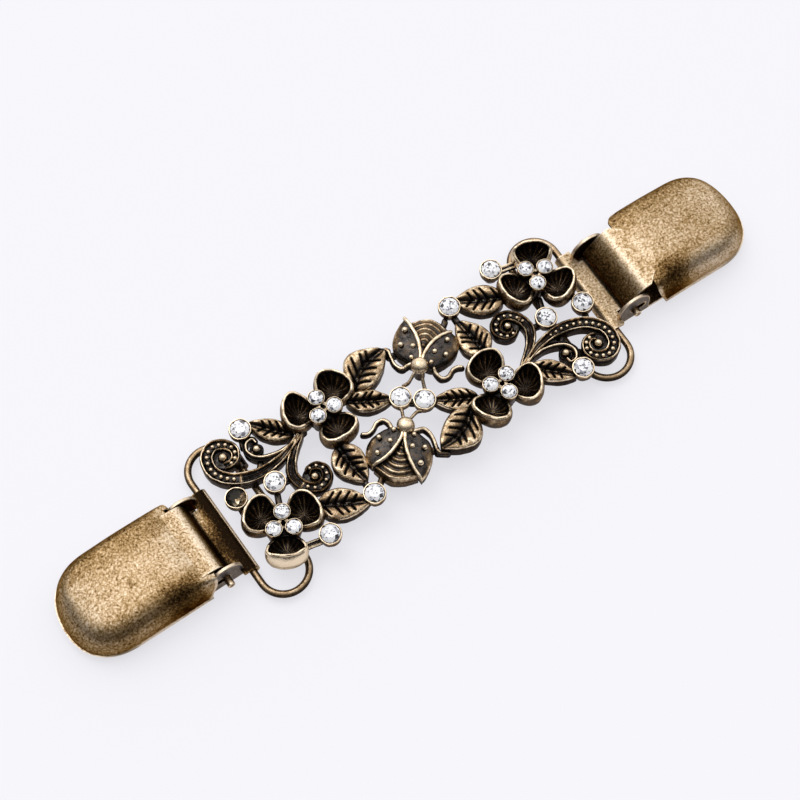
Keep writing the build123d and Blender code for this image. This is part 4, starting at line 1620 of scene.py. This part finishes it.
@dataclass
class Stones:
    """Brilliant cut round stones, one form copied to every cup."""

    table: float = 0.56
    crown: float = 0.30
    girdle: float = 0.08
    pavilion: float = 0.62

    def form(self, name: str, missing: float = 0.0) -> bpy.types.Object:
        """The stone of unit radius, about its girdle's middle.

        Args:
            name: The object's name.
            missing: How far its table is sunk, for a stone without foil.

        Returns:
            The faceted object, not shown.
        """
        eight = np.arange(8) * math.pi / 4
        half = eight + math.pi / 8
        fine = np.arange(16) * math.pi / 8

        def ring(turn: np.ndarray, radius: float, z: float) -> np.ndarray:
            """One ring of corners."""
            return joined(radius * np.cos(turn), radius * np.sin(turn), z)

        top = self.crown - missing
        rings = [
            ring(eight, self.table, top), ring(half, 0.5 * (self.table + 1.02), 0.58 * self.crown),
            ring(fine, 1.0, 0.0), ring(fine, 1.0, -self.girdle),
            ring(half, 0.55, -self.girdle - 0.45 * self.pavilion),
            ring(eight[:1], 0.0, -self.girdle - self.pavilion),
            ring(half, 0.45 * self.table, top), ring(eight[:1], 0.0, top),
        ]
        points = np.vstack(rings)
        star, kite, edge, low, back, inner, middle = 0, 8, 16, 32, 48, 57, 65
        faces = []
        for k in range(8):
            n = (k + 1) % 8
            faces.append([star + k, star + n, inner + k])
            faces.append([star + n, inner + n, inner + k])
            faces.append([inner + k, inner + n, middle])
        for k in range(8):
            n = (k + 1) % 8
            faces.append([star + k, kite + k, star + n])
            faces.append([star + n, kite + k, edge + 2 * n, kite + n])
            faces.append([kite + k, edge + (2 * k + 1) % 16, edge + (2 * n) % 16])
            faces.append([kite + k, edge + (2 * k) % 16, edge + (2 * k + 1) % 16])
            faces.append([low + (2 * k) % 16, back + k, low + (2 * k + 1) % 16])
            faces.append([low + (2 * k + 1) % 16, back + k, low + (2 * n) % 16])
            faces.append([low + (2 * n) % 16, back + k, 56, back + n])
        for k in range(16):
            faces.append([edge + k, low + k, low + (k + 1) % 16, edge + (k + 1) % 16])
        data = bpy.data.meshes.new(name)
        data.from_pydata((points * MM).tolist(), [], faces)
        work = bmesh.new()
        work.from_mesh(data)
        bmesh.ops.recalc_face_normals(work, faces=work.faces)
        work.to_mesh(data)
        work.free()
        return linked(name, data)


def bead_form(name: str) -> bpy.types.Object:
    """A bead of unit radius whose top is rubbed bright, not shown itself."""
    shape = Shape()
    profile = [(0.04, -1.0, 0.0)]
    for t in np.linspace(-70, 80, 9):
        lean = math.radians(float(t))
        bright = float(ease(np.array(math.sin(lean)), -0.35, 0.45)) * 0.98
        profile.append((math.cos(lean), math.sin(lean), bright))
    profile.append((0.04, 1.0, 0.98))
    shape.lathe(profile, (0.0, 0.0, 0.0), 14)
    return shape.mesh(name)


# ---- The clips


@dataclass(frozen=True)
class End:
    """Where one end's ring and clip lie, how its plating has worn, and how light and shade are painted on it.
    """

    side: str
    heading: float
    pull: float
    ring_slide: float
    clip_slide: float
    pin_slide: float
    ridge_shift: float
    # The level to which the painted shade brings the neck down, by the pin.
    neck_painted_shade: float
    strip: float
    fade: float
    roll: float
    line: float
    rear_top: float
    rear_low: float
    # How much painted light lightens the cover's near side.
    south_painted_light: float

    @property
    def north(self) -> float:
        """Which side of the heading lies away from the camera: 1 its left, -1 its right."""
        return 1.0 if self.side == "right" else -1.0

    def frame(self, slide: float) -> Matrix:
        """The move that takes a piece from the heading's own axis to its place.

        Args:
            slide: How far the piece lies to the left of the heading.

        Returns:
            The move, in millimetres.
        """
        turn = Matrix.Rotation(math.radians(self.heading), 4, "Z")
        return turn @ Matrix.Translation((self.pull, slide, 0.0))

    def painted_shading(self, x: np.ndarray, y: np.ndarray) -> np.ndarray:
        """How much lighter or darker the cover is painted, place by place, as light and shade."""
        south = -self.north * y
        # Painted shade towards both long sides, which narrows the highlight along the crown.
        sides = -0.13 * ease(np.abs(y - 0.5), 2.2, 7.2)
        # Painted light towards the tip.
        tip = 0.08 * ease(x, 61.0, 67.5)
        # Painted shade on the near side behind, and a painted highlight at the rear middle by the neck.
        rear = -0.22 * ridge(x - 51.0, 4.0) * ease(south, 3.2, 5.6)
        rear += 0.10 * ridge(x - 48.0, 3.0) * ease(np.abs(y), 5.0, 2.0)
        # Painted light over the near side, and a painted reflection of the table along its near lower edge.
        near = self.south_painted_light * ease(south, 4.0, 7.5) * ease(x, 51.0, 56.0)
        return sides + tip + rear + near + 0.10 * ease(south, 6.4, 8.4)

    def tongue_wear_and_highlight(self, x: float, y: np.ndarray) -> np.ndarray:
        """Wear over the tongue: its strip by the neck, its roll over the wire, and a painted highlight line
        along its edge.
        """
        share = float(ease(np.array(x), 38.8, 41.2))
        strip = self.strip - self.fade * ease(y, -5.0, 1.0)
        return strip * share + self.roll * (1 - share) + self.line * float(ridge(np.array(x - 37.72), 0.30))


ENDS = (
    End("left", 180.0, 0.1, 1.1, 0.85, 0.5, 1.40, -0.05, 0.62, 0.46, -0.12, 1.7, -0.5, -0.25, 0.10),
    End("right", -1.2, -0.9, 0.5, 1.0, 0.0, -0.35, 0.22, 0.66, 0.0, 0.62, 0.0, 1.2, 0.4, 0.34),
)


@dataclass
class Rings:
    """The two long wire rings between the casting and the clips."""

    near_x: float = 30.1
    far_x: float = 38.7
    half: float = 15.10
    radius: float = 0.65
    z: float = 1.3
    bend_points: int = 33
    side_points: int = 30
    sides: int = 24

    def build(self, end: End) -> Shape:
        """One ring."""
        bend = (self.far_x - self.near_x) / 2
        middle = (self.far_x + self.near_x) / 2
        straight = self.half - bend
        turn = np.linspace(0.0, math.pi, self.bend_points)
        upper = joined(middle + bend * np.cos(turn), straight + bend * np.sin(turn))
        side = np.linspace(straight, -straight, self.side_points)[1:-1]
        near = joined(self.near_x, side)
        lower = joined(middle - bend * np.cos(turn), -straight - bend * np.sin(turn))
        far = joined(self.far_x, side[::-1])
        line = at_height(np.vstack([upper, near, lower, far]), self.z)
        ring = Shape()
        # A painted highlight: a thin bright line along the top of the wire, darker down its sides.
        ring.tube(line, self.radius, 0.74, self.sides, closed=True, under=0.14, crest=(0.62, 1.0))
        return ring.turned(end.frame(end.ring_slide))


@dataclass
class Covers:
    """The two sprung sheet covers: a domed plate with rounded shoulders, and a neck that wraps the pin."""

    start: float = 47.45
    straight: float = 60.9
    tip: float = 70.07
    half: float = 8.87
    high: float = 7.88
    straight_high: float = 7.55
    tip_high: float = 5.6
    foot: float = 1.84
    shoulder_wide: float = 4.2
    shoulder_far: float = 2.8
    shoulder_deep: float = 4.3
    far_out: float = 0.6
    lip: float = 0.22
    sheet: float = 0.5
    around: int = 170
    neck_half: float = 6.47
    neck_columns: int = 41
    neck_rows: int = 60
    neck_wrap: float = 165.0
    pin_x: float = 43.2
    pin_z: float = 2.9
    roll: float = 1.0
    ridge_back: float = 2.35
    ridge_high: float = 6.75
    ridge_soft: float = 1.0
    neck_taper: float = 0.25
    corner: float = 1.9
    lean: float = 1.9
    lean_run: float = 2.6

    def outline(self) -> tuple[np.ndarray, np.ndarray]:
        """The open outline of the plate.

        Returns:
            The outline from the back of one long side round the tip to the back of the other, and its
            outward directions.
        """
        side = np.linspace(self.start, self.straight, 46)[:-1]
        turn = np.linspace(math.pi / 2, -math.pi / 2, self.around - 2 * len(side))
        long = self.tip - self.straight
        full = np.sign(np.sin(turn)) * np.abs(np.sin(turn)) ** 0.87
        tip = joined(self.straight + long * np.cos(turn) ** 0.87, self.half * full)
        line = np.vstack([joined(side, self.half), tip, joined(side[::-1], -self.half)])
        out = np.zeros_like(line)
        out[: len(side), 1] = 1.0
        out[len(line) - len(side):, 1] = -1.0
        bend = joined(np.cos(turn) / long, np.sin(turn) / self.half)
        out[len(side): len(side) + len(turn)] = unit(bend)
        return line, out

    def crown(self, x: np.ndarray) -> np.ndarray:
        """Height of the plate's top at a distance out."""
        line = (
            (44.6, 6.62), (45.6, 6.86), (46.6, 7.12), (48.0, 7.45), (50.0, 7.75), (52.5, self.high),
            (56.0, self.high), (self.straight, self.straight_high), (64.0, 7.1), (67.0, 6.45),
            (self.tip, self.tip_high),
        )
        return np.interp(x, *zip(*line))

    def skin(self, inset: float, end: End) -> tuple[np.ndarray, np.ndarray]:
        """The plate's outer or inner skin.

        Args:
            inset: How far inside the outer skin it lies.
            end: The end it is made for.

        Returns:
            Points ring by ring from the rim inwards, and each point's wear.
        """
        line, out = self.outline()
        narrow = self.half - self.neck_half
        far = ease(out[:, 1:] * end.north, 0.0, 0.8)
        shoulder = self.shoulder_wide + (self.shoulder_far - self.shoulder_wide) * far
        wide = narrow + (shoulder - narrow) * ease(line[:, :1], self.start, self.start + 5.0) - inset
        deep = self.shoulder_deep - inset
        rows, shades = [], []
        # The lowest rows are a bright lip: a rubbed edge with a painted reflection of the table.
        for share, wear in ((0.0, 1.0), (0.10, 1.0), (0.22, 1.0), (0.30, 0.42), (0.55, 0.38), (0.85, 0.38)):
            place = line - out * (inset + self.lip * float(ease(np.array(share), 0.10, 0.30)))
            top = self.crown(place[:, 0]) - inset - deep
            rows.append(at_height(place, self.foot + share * (top - self.foot)))
            shades.append(np.full(len(place), wear))
        for turn in np.linspace(0.0, math.pi / 2, 12):
            place = line - out * (inset + self.lip + (wide - self.lip) * (1 - math.cos(turn) ** 0.9))
            z = self.crown(place[:, 0]) - inset - deep * (1 - math.sin(turn) ** 1.05)
            rows.append(at_height(place, z))
            shades.append(np.full(len(place), 0.40 + 0.19 * math.sin(turn) ** 3))
        rows = [self.leant(row, end) for row in rows]
        last = line - out * (inset + wide)
        spine = joined(np.clip(last[:, 0], self.start, self.straight - 0.4), 0.0)
        for share in np.linspace(0.0, 0.985, 12)[1:]:
            place = last * (1 - share) + spine * share
            rows.append(self.leant(at_height(place, self.crown(place[:, 0]) - inset), end))
            shades.append(np.full(len(place), 0.60))
        shade = np.stack(shades)
        for column in (0, 1, -2, -1):
            shade[:14, column] += 0.45
        return np.stack(rows), shade

    def leant(self, row: np.ndarray, end: End) -> np.ndarray:
        """A ring whose back is drawn towards the neck, the more the higher it lies."""
        row = row.copy()
        corner = np.clip((np.abs(row[:, 1]) - self.neck_half) / (self.half - self.neck_half), 0.0, 1.0)
        rear = ease(row[:, 0], self.start + 4.0, self.start)
        far = row[:, 1] * end.north
        row[:, 0] += rear * self.corner * corner**2 * (far > 0)
        row[:, 0] += rear * (end.rear_top + end.rear_low * ease(row[:, 2], 3.6, self.foot))
        share = ease(row[:, 0], self.start + self.lean_run, self.start)
        row[:, 0] -= self.lean * share * ease(row[:, 2], self.foot, 6.6)
        row[:, 2] = np.minimum(row[:, 2], np.where(row[:, 2] > 5.0, self.crown(row[:, 0]), row[:, 2]))
        row[:, 1] += end.north * self.far_out * ease(far, 1.5, 8.0)
        return row

    def plate(self, shape: Shape, end: End) -> None:
        """Adds the domed plate."""
        outer, shade = self.skin(0.0, end)
        inner, _ = self.skin(self.sheet, end)
        rings, around = shade.shape
        count = rings * around
        faces = shape.quads(rings, around)
        faces += [[count + k for k in face[::-1]] for face in shape.quads(rings, around)]
        faces += [[j, j + 1, count + j + 1, count + j][::-1] for j in range(around - 1)]
        last = (rings - 1) * around
        for layer in (0, count):
            for j in range(around // 2 - 1):
                face = [layer + last + k for k in (j, j + 1, around - 2 - j, around - 1 - j)]
                faces.append(face if layer == 0 else face[::-1])
        for i in range(rings - 1):
            for j in (0, around - 1):
                low, top = i * around + j, (i + 1) * around + j
                faces.append([low, top, count + top, count + low])
        faces.append([last, last + around - 1, count + last + around - 1, count + last])
        points = np.vstack([outer.reshape(-1, 3), inner.reshape(-1, 3)])
        x, y = points[:count, 0], points[:count, 1]
        # The painted light and shade of this end are added to each row's wear.
        wear = shade.ravel() + end.painted_shading(x, y)
        behind = 0.22 * ease(x, self.start + 0.5, self.start - 0.2)
        wear += behind * ease(np.abs(y), self.neck_half - 0.5, self.neck_half)
        shape.add(points, np.concatenate([np.clip(wear, 0, 1), np.full(count, 0.2)]), faces)

    def neck(self, shape: Shape, end: End) -> None:
        """Adds the neck: a strip from the plate back over a soft ridge, down and round the pin."""
        drawn = max(end.rear_top, 0.0)
        begin = self.start - 0.4 + 1.5 * drawn
        top = np.array([begin, float(self.crown(np.array(begin))) - self.sheet / 2 - 0.02])
        crest = np.array([self.start - self.ridge_back - end.ridge_shift, self.ridge_high])
        reach = math.hypot(crest[0] - self.pin_x, crest[1] - self.pin_z)
        touch = math.atan2(crest[1] - self.pin_z, crest[0] - self.pin_x) + math.acos(self.roll / reach)
        wrap = touch + np.linspace(0.0, math.radians(self.neck_wrap), 18)
        arc = joined(self.pin_x + self.roll * np.cos(wrap), self.pin_z + self.roll * np.sin(wrap))
        along = (crest - top) / np.linalg.norm(crest - top)
        down = (arc[0] - crest) / np.linalg.norm(arc[0] - crest)
        share = np.linspace(0.0, 1.0, 9)[:, None]
        bend = list(crest - along * self.ridge_soft * (1 - share) ** 2 + down * self.ridge_soft * share**2)
        falling = np.linspace(bend[-1], arc[0], 7)[1:]
        path = np.vstack([np.linspace(top, bend[0], 6)[:-1], bend, falling, arc[1:]])
        line = spaced(path, self.neck_rows)
        heading = headings(line)
        side = joined(heading[:, 1], -heading[:, 0])
        if side[0, 1] < 0:
            side = -side
        y = np.linspace(-self.neck_half, self.neck_half, self.neck_columns)
        taper = self.neck_taper * min(drawn, 1.0)
        across = np.stack([y * (1.0 - taper * max(0.0, 1.0 - k / 10)) for k in range(len(line))])

        def wear(_: int, skin: np.ndarray, outer: bool) -> np.ndarray:
            """A painted highlight by the ridge, rubbed along the sides, painted shade down to the pin, and
            darker inside.
            """
            # Painted shade as the neck falls from the ridge to the pin, and a painted highlight by the ridge.
            painted_fall = float(ease(np.array(skin[1]), 6.85, 4.2))
            rubbed = 0.60 * (1 - painted_fall) + end.neck_painted_shade * painted_fall
            rubbed += 0.22 * float(ridge(np.array(skin[0] - crest[0] - 0.6), 0.7))
            return rubbed * (1.0 if outer else 0.5) + 0.25 * ridge(np.abs(y) - self.neck_half, 0.25)

        shape.strip(line, side, self.sheet / 2, across, wear)

    def build(self, end: End) -> Shape:
        """One cover."""
        cover = Shape()
        self.plate(cover, end)
        self.neck(cover, end)
        return cover.turned(end.frame(end.clip_slide))


@dataclass
class Bases:
    """The clip bases: a nose plate with teeth, two ears, and a tongue rolled over the ring's wire."""

    sheet: float = 0.58
    plate_start: float = 40.6
    nose_x: float = 60.9
    nose_r: float = 7.75
    half: float = 7.35
    ear_inner: float = 6.8
    ear_r: float = 3.28
    ear_z: float = 3.3
    pin_x: float = 43.2
    pin_z: float = 2.9
    pin_r: float = 0.68
    pin_out: float = 1.2
    hole: float = 0.72
    slot: float = 1.3
    wire_x: float = 38.7
    wire_z: float = 1.3
    roll_inner: float = 0.76
    roll_outer: float = 1.29
    wing_half: float = 8.45
    tab_half: float = 5.75
    wing_from: float = 40.55
    wing_full: float = 40.35
    tongue_x: float = 42.0
    tongue_lean: float = 14.0
    tongue_wrap: float = 200.0
    tongue_rows: int = 56
    tongue_columns: int = 61
    teeth: int = 7
    teeth_wide: float = 12.0
    teeth_back: float = 3.6
    tooth_high: float = 1.4
    eased: float = 0.4
    pin_sides: int = 24

    def nose_plate(self, shape: Shape) -> None:
        """Adds the flat nose plate and its teeth."""
        turn = np.linspace(math.pi / 2, -math.pi / 2, 40)
        nose = joined(self.nose_x + self.nose_r * np.cos(turn), self.nose_r * np.sin(turn))
        rear, half, eased = self.plate_start, self.half, self.eased
        back = [
            (self.nose_x - 1, -half), (rear + eased, -half), (rear, -half + eased),
            (rear, half - eased), (rear + eased, half), (self.nose_x - 1, half),
        ]
        shape.sheet(np.vstack([nose, back]), 0.0, self.sheet, 0.07, 0.5, 0.95)
        pitch = self.teeth_wide / self.teeth
        tip = self.nose_x + self.nose_r - self.teeth_back
        low, high = self.sheet, self.sheet + self.tooth_high
        for k in range(self.teeth):
            y = (k - (self.teeth - 1) / 2) * pitch
            corners = [
                (tip - 0.5, y - pitch / 2, low), (tip + 0.5, y - pitch / 2, low),
                (tip + 0.5, y + pitch / 2, low), (tip - 0.5, y + pitch / 2, low),
                (tip - 0.3, y, high), (tip + 0.3, y, high),
            ]
            shape.add(corners, 0.6, [[0, 3, 2, 1], [0, 1, 5, 4], [2, 3, 4, 5], [1, 2, 5], [3, 0, 4]])

    def tongue(self, shape: Shape, end: End) -> None:
        """Adds the tongue: up from the plate, flat, and round the wire, with wings past its neck."""
        lean, wrap = math.radians(self.tongue_lean), math.radians(self.tongue_wrap)
        mid = (self.roll_inner + self.roll_outer) / 2
        turn = np.linspace(math.pi / 2 - lean, math.pi / 2 + wrap, 30)
        arc = joined(self.wire_x + mid * np.cos(turn), self.wire_z + mid * np.sin(turn))
        rise = [(self.tongue_x + 0.5, 0.5), (self.tongue_x + 0.1, 1.45), (self.tongue_x - 0.5, 1.95)]
        line = spaced(np.vstack([rise, arc]), self.tongue_rows)
        line = smooth_line(line[::3], self.tongue_rows)
        heading = headings(line)
        side = joined(-heading[:, 1], heading[:, 0])
        if side[20, 1] < 0:
            side = -side
        winged = ease(line[:, 0], self.wing_from, self.wing_full)
        wide = self.tab_half + (self.wing_half - self.tab_half) * winged
        across = np.linspace(-1.0, 1.0, self.tongue_columns) * wide[:, None]

        def wear(k: int, skin: np.ndarray, outer: bool) -> np.ndarray:
            """The tongue's wear on its outer side, dark inside, rubbed along its side rims, and its free edge
            painted bright as a highlight.
            """
            y = across[k]
            rim = 0.35 * ridge(np.abs(y) - wide[k], 0.2) + 0.5 * (k > len(line) - 4)
            return (end.tongue_wear_and_highlight(skin[0], y) if outer else 0.15) + rim

        shape.strip(line, side, (self.roll_outer - self.roll_inner) / 2, across, wear)
        # A thin raised edge along the roll, painted bright where light catches it.
        if end.line:
            x = self.wire_x - self.roll_outer * math.cos(0.8)
            z = self.wire_z + self.roll_outer * math.sin(0.8)
            run = np.linspace(-self.wing_half + 0.5, self.wing_half - 0.3, 40)
            shape.tube(joined(x, run, z), 0.15, 1.0, 8, under=0.9)

    def ear(self, shape: Shape, side: int) -> None:
        """Adds one ear with its slotted hole."""
        turn = np.linspace(0, 2 * math.pi, 73)[:-1]
        c, s = np.cos(turn), np.sin(turn)
        x = self.pin_x + self.slot / 2 * np.clip(c * 3, -1, 1) + self.slot / 2 + self.hole * c
        hole = joined(x, self.pin_z + self.hole * s)
        reach = np.minimum(self.ear_r / np.maximum(np.abs(c), TINY), self.ear_z / np.maximum(-s, TINY))
        reach = np.where(s > 0, self.ear_r, reach)
        rim = joined(self.pin_x + reach * c, self.ear_z + reach * s)
        rim[:, 1] = np.maximum(rim[:, 1], 0.02)
        inward = unit(np.array([self.pin_x, self.ear_z]) - rim)
        low, high = self.ear_inner, self.ear_inner + self.sheet
        rings = (
            (hole, low, 0.1), (rim + inward * 0.30, low, 0.2), (rim + inward * 0.08, low, 0.9),
            (rim, low + 0.08, 1.0), (rim, high - 0.08, 1.0), (rim + inward * 0.08, high, 1.0),
            (rim + inward * 0.30, high, 2.0), (hole + (hole - (self.pin_x, self.pin_z)) * 0.3, high, 2.0),
            (hole, high, -0.2),
        )
        rows = [joined(ring[:, 0], side * y, ring[:, 1]) for ring, y, _ in rings]
        shades = np.repeat([wear for _, _, wear in rings], len(turn))
        shape.add(np.stack(rows), shades, shape.quads(len(rows), len(turn), True, True))

    def build(self, end: End) -> Shape:
        """One base."""
        base = Shape()
        self.nose_plate(base)
        self.tongue(base, end)
        for side in (1, -1):
            self.ear(base, side)
        return base.turned(end.frame(end.clip_slide))

    def pin(self, end: End) -> Shape:
        """One pin."""
        reach = self.ear_inner + self.sheet + self.pin_out
        pin = Shape()
        turn = np.arange(self.pin_sides) * 2 * math.pi / self.pin_sides
        rows, shades = [], []
        ends = ((reach, 0.02, 0.5), (reach, 0.8, 0.9), (reach - 0.12, 1.0, 0.95), (reach - 0.9, 1.0, 0.6))
        for y, grow, wear in (*ends, *[(-y, grow, wear) for y, grow, wear in reversed(ends)]):
            r = self.pin_r * grow
            rows.append(joined(self.pin_x + r * np.cos(turn), y, self.pin_z + r * np.sin(turn)))
            shades.append(np.full(self.pin_sides, wear))
        pin.add(np.stack(rows), np.stack(shades), pin.barrel(len(rows), self.pin_sides))
        return pin.turned(end.frame(end.clip_slide + end.pin_slide))


# ---- The studio


@dataclass(frozen=True)
class FloorFinish:
    """A pale table, faintly lavender."""

    name: str
    colour: Triple = (0.25, 0.25, 0.262)
    glow: Triple = (0.663, 0.655, 0.685)

    def make(self) -> bpy.types.Material:
        """Builds the material."""
        g = Graph(self.name)
        return g.surface(
            {
                "Base Color": (*self.colour, 1.0),
                "Roughness": 0.75,
                "Specular IOR Level": 0.1,
                "Emission Color": (*self.glow, 1.0),
                "Emission Strength": 1.0,
            }
        )


@dataclass
class Studio:
    """The table, the lights and the camera of the picture."""

    floor_half: float = 3.0
    spin: float = 34.94
    elevation: float = 66.10
    roll: float = -0.15
    distance: float = 0.400
    lens: float = 104.256
    aim: Triple = (-0.588, 2.907, 0.0)
    pale_towards: Triple = (0.38, 0.52, 0.765)
    room: Plan = ((0.0, 0.03), (0.45, 0.07), (0.62, 0.24), (0.80, 0.72), (0.93, 1.0), (1.0, 1.0))
    room_power: float = 1.42

    def axes(self) -> tuple[Vector, Vector, Vector]:
        """The camera's right, up and forward directions."""
        c, s = math.cos(math.radians(self.spin)), math.sin(math.radians(self.spin))
        e = math.radians(self.elevation)
        right = Vector((c, -s, 0.0))
        up = Vector((s * math.sin(e), c * math.sin(e), math.cos(e)))
        forward = Vector((s * math.cos(e), c * math.cos(e), -math.sin(e)))
        c, s = math.cos(math.radians(self.roll)), math.sin(math.radians(self.roll))
        return right * c - up * s, right * s + up * c, forward

    def camera(self) -> None:
        """Sets the camera where the photograph was taken."""
        data = bpy.data.cameras.new("camera")
        data.lens = self.lens
        data.sensor_width = 36.0
        data.clip_start, data.clip_end = 0.01, 20.0
        made = linked("camera", data)
        right, up, forward = self.axes()
        turn = Matrix((right, up, -forward)).transposed().to_4x4()
        place = Vector(self.aim) * MM - forward * self.distance
        made.matrix_world = Matrix.Translation(place) @ turn
        bpy.context.scene.camera = made

    def floor(self) -> None:
        """Lays the table."""
        half = self.floor_half
        data = bpy.data.meshes.new("table")
        places = [(-half, -half, 0), (half, -half, 0), (half, half, 0), (-half, half, 0)]
        data.from_pydata(places, [], [[0, 1, 2, 3]])
        data.materials.append(FloorFinish("table").make())
        linked("table", data)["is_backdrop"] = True

    def light(
        self,
        name: str,
        bearing: float,
        height: float,
        reach: float,
        size: float,
        power: float,
        colour: Triple,
    ) -> None:
        """Adds a square soft light that faces the clip.

        Args:
            name: Its name.
            bearing: Its direction in plan, in degrees from +X towards +Y.
            height: Its elevation, in degrees.
            reach: Its distance, in metres.
            size: Its side, in metres.
            power: Its power, in watts.
            colour: Its colour.
        """
        data = bpy.data.lights.new(name, "AREA")
        data.shape = "SQUARE"
        data.size = size
        data.energy = power
        data.color = colour
        b, h = math.radians(bearing), math.radians(height)
        away = Vector((math.cos(b) * math.cos(h), math.sin(b) * math.cos(h), math.sin(h)))
        turn = away.to_track_quat("Z", "Y").to_matrix().to_4x4()
        linked(name, data).matrix_world = Matrix.Translation(away * reach) @ turn

    def world(self) -> None:
        """Sets the room's own light: pale from above and behind, darker low down towards the viewer."""
        world = bpy.data.worlds.new("room")
        world.use_nodes = True
        nodes, links = world.node_tree.nodes, world.node_tree.links
        nodes.clear()
        point = nodes.new("ShaderNodeTexCoord")
        towards = nodes.new("ShaderNodeVectorMath")
        towards.operation = "DOT_PRODUCT"
        towards.inputs[1].default_value = self.pale_towards
        half = nodes.new("ShaderNodeMath")
        half.operation = "MULTIPLY_ADD"
        half.inputs[1].default_value = 0.5
        half.inputs[2].default_value = 0.5
        ramp = nodes.new("ShaderNodeValToRGB")
        back = nodes.new("ShaderNodeBackground")
        end = nodes.new("ShaderNodeOutputWorld")
        links.new(point.outputs["Generated"], towards.inputs[0])
        links.new(towards.outputs["Value"], half.inputs[0])
        links.new(half.outputs[0], ramp.inputs[0])
        set_stops(ramp, tuple((place, (value, value, value)) for place, value in self.room))
        links.new(ramp.outputs[0], back.inputs[0])
        back.inputs[1].default_value = self.room_power
        links.new(back.outputs[0], end.inputs[0])
        bpy.context.scene.world = world

    def build(self) -> None:
        """Sets up the whole studio."""
        self.camera()
        self.floor()
        self.world()
        self.light("key", 95.0, 58.0, 3.0, 1.9, 22.0, (1.0, 0.99, 0.97))
        settings = bpy.context.scene.view_settings
        settings.view_transform = "Standard"
        settings.look = "None"


# ---- The clip


@dataclass
class ScarfClip:
    """The whole clip, piece by piece."""

    cad: dict[str, bpy.types.Object]
    cast: CastFinish = CastFinish("blackened_brass")
    wire: CastFinish = CastFinish("rubbed_wire", painted_sheen_grey=(0.035, 0.022, 0.012), uneven=0.35)
    plate: PlatedFinish = PlatedFinish("mottled_plate")
    stone: StoneFinish = StoneFinish("clear_stone")
    bare: BareStoneFinish = BareStoneFinish("bare_stone")

    def casting(self) -> None:
        """Dresses the casting."""
        finish = self.cast.make()
        parts = {
            "flowers": Flowers().build(),
            "leaves": Leaves().build(),
            "scrolls": Scrolls().build(),
            "ladybirds": Ladybirds().build(),
            "bars": Bars().build(),
            "cups": Cups().build(),
        }
        for name, shape in parts.items():
            piece = shape.wavered(0.028, len(name)).mesh(f"casting_{name}")
            settle(piece, "ornament", finish, ("ornament",))
        form = bead_form("bead")
        places, sizes = Scrolls().beads()
        for side in (1, -1):
            for x, y, r in Ladybirds().spots:
                places.append((side * x, side * y, Ladybirds().wing_low + 0.24))
                sizes.append(r)
        beads = Repeater("beads", form, finish, 3).copy_to("casting_beads", places, sizes, Seed=3)
        settle(beads, "ornament", None, ("ornament",))
        bpy.data.objects.remove(form)

    def stones(self) -> None:
        """Dresses the stones."""
        places, sizes = Cups().places()
        nodes = sorted(name for name in self.cad if name.startswith("stone_"))
        white = [name for name in nodes if name != BARE_STONE]
        form = Stones().form("brilliant")
        sets = Repeater("stones", form, self.stone.make(), 11)
        made = sets.copy_to("stones_white", places[:-1], sizes[:-1], Turn=math.tau, Seed=11)
        settle(made, "ornament", None, white)
        bare = Stones().form("bare", 0.12)
        lone = Repeater("bare_stone", bare, self.bare.make(), 5)
        made = lone.copy_to("stone_bare", places[-1:], sizes[-1:], Turn=math.tau, Seed=5)
        settle(made, "ornament", None, (BARE_STONE,))
        bpy.data.objects.remove(form)
        bpy.data.objects.remove(bare)

    def clips(self) -> None:
        """Dresses the rings and the clips."""
        wire, plate = self.wire.make(), self.plate.make()
        for end in ENDS:
            side = end.side
            ring = Rings().build(end).mesh(f"ring_wire_{side}")
            settle(ring, f"ring_{side}", wire, (f"ring_{side}",))
            base = Bases().build(end).mesh(f"base_sheet_{side}")
            settle(base, f"clip_{side}", plate, (f"clip_base_{side}",))
            pin = Bases().pin(end).mesh(f"pin_wire_{side}")
            settle(pin, f"clip_{side}", wire, (f"hinge_pin_{side}",))
            cover = Covers().build(end).mesh(f"cover_sheet_{side}")
            settle(cover, f"cover_{side}", plate, (f"clip_cover_{side}",))


def corners() -> list[list[float]]:
    """The lowest and highest corner of what is shown, as plain lists."""
    return [list(corner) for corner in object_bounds()]


def main() -> None:
    """Loads the frame, dresses it and sets the studio."""
    logging.basicConfig(level=logging.INFO, format="%(message)s")
    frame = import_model()
    clip = ScarfClip(frame["nodes"])
    clip.casting()
    clip.stones()
    clip.clips()
    Studio().build()


if __name__ == "__main__":
    main()
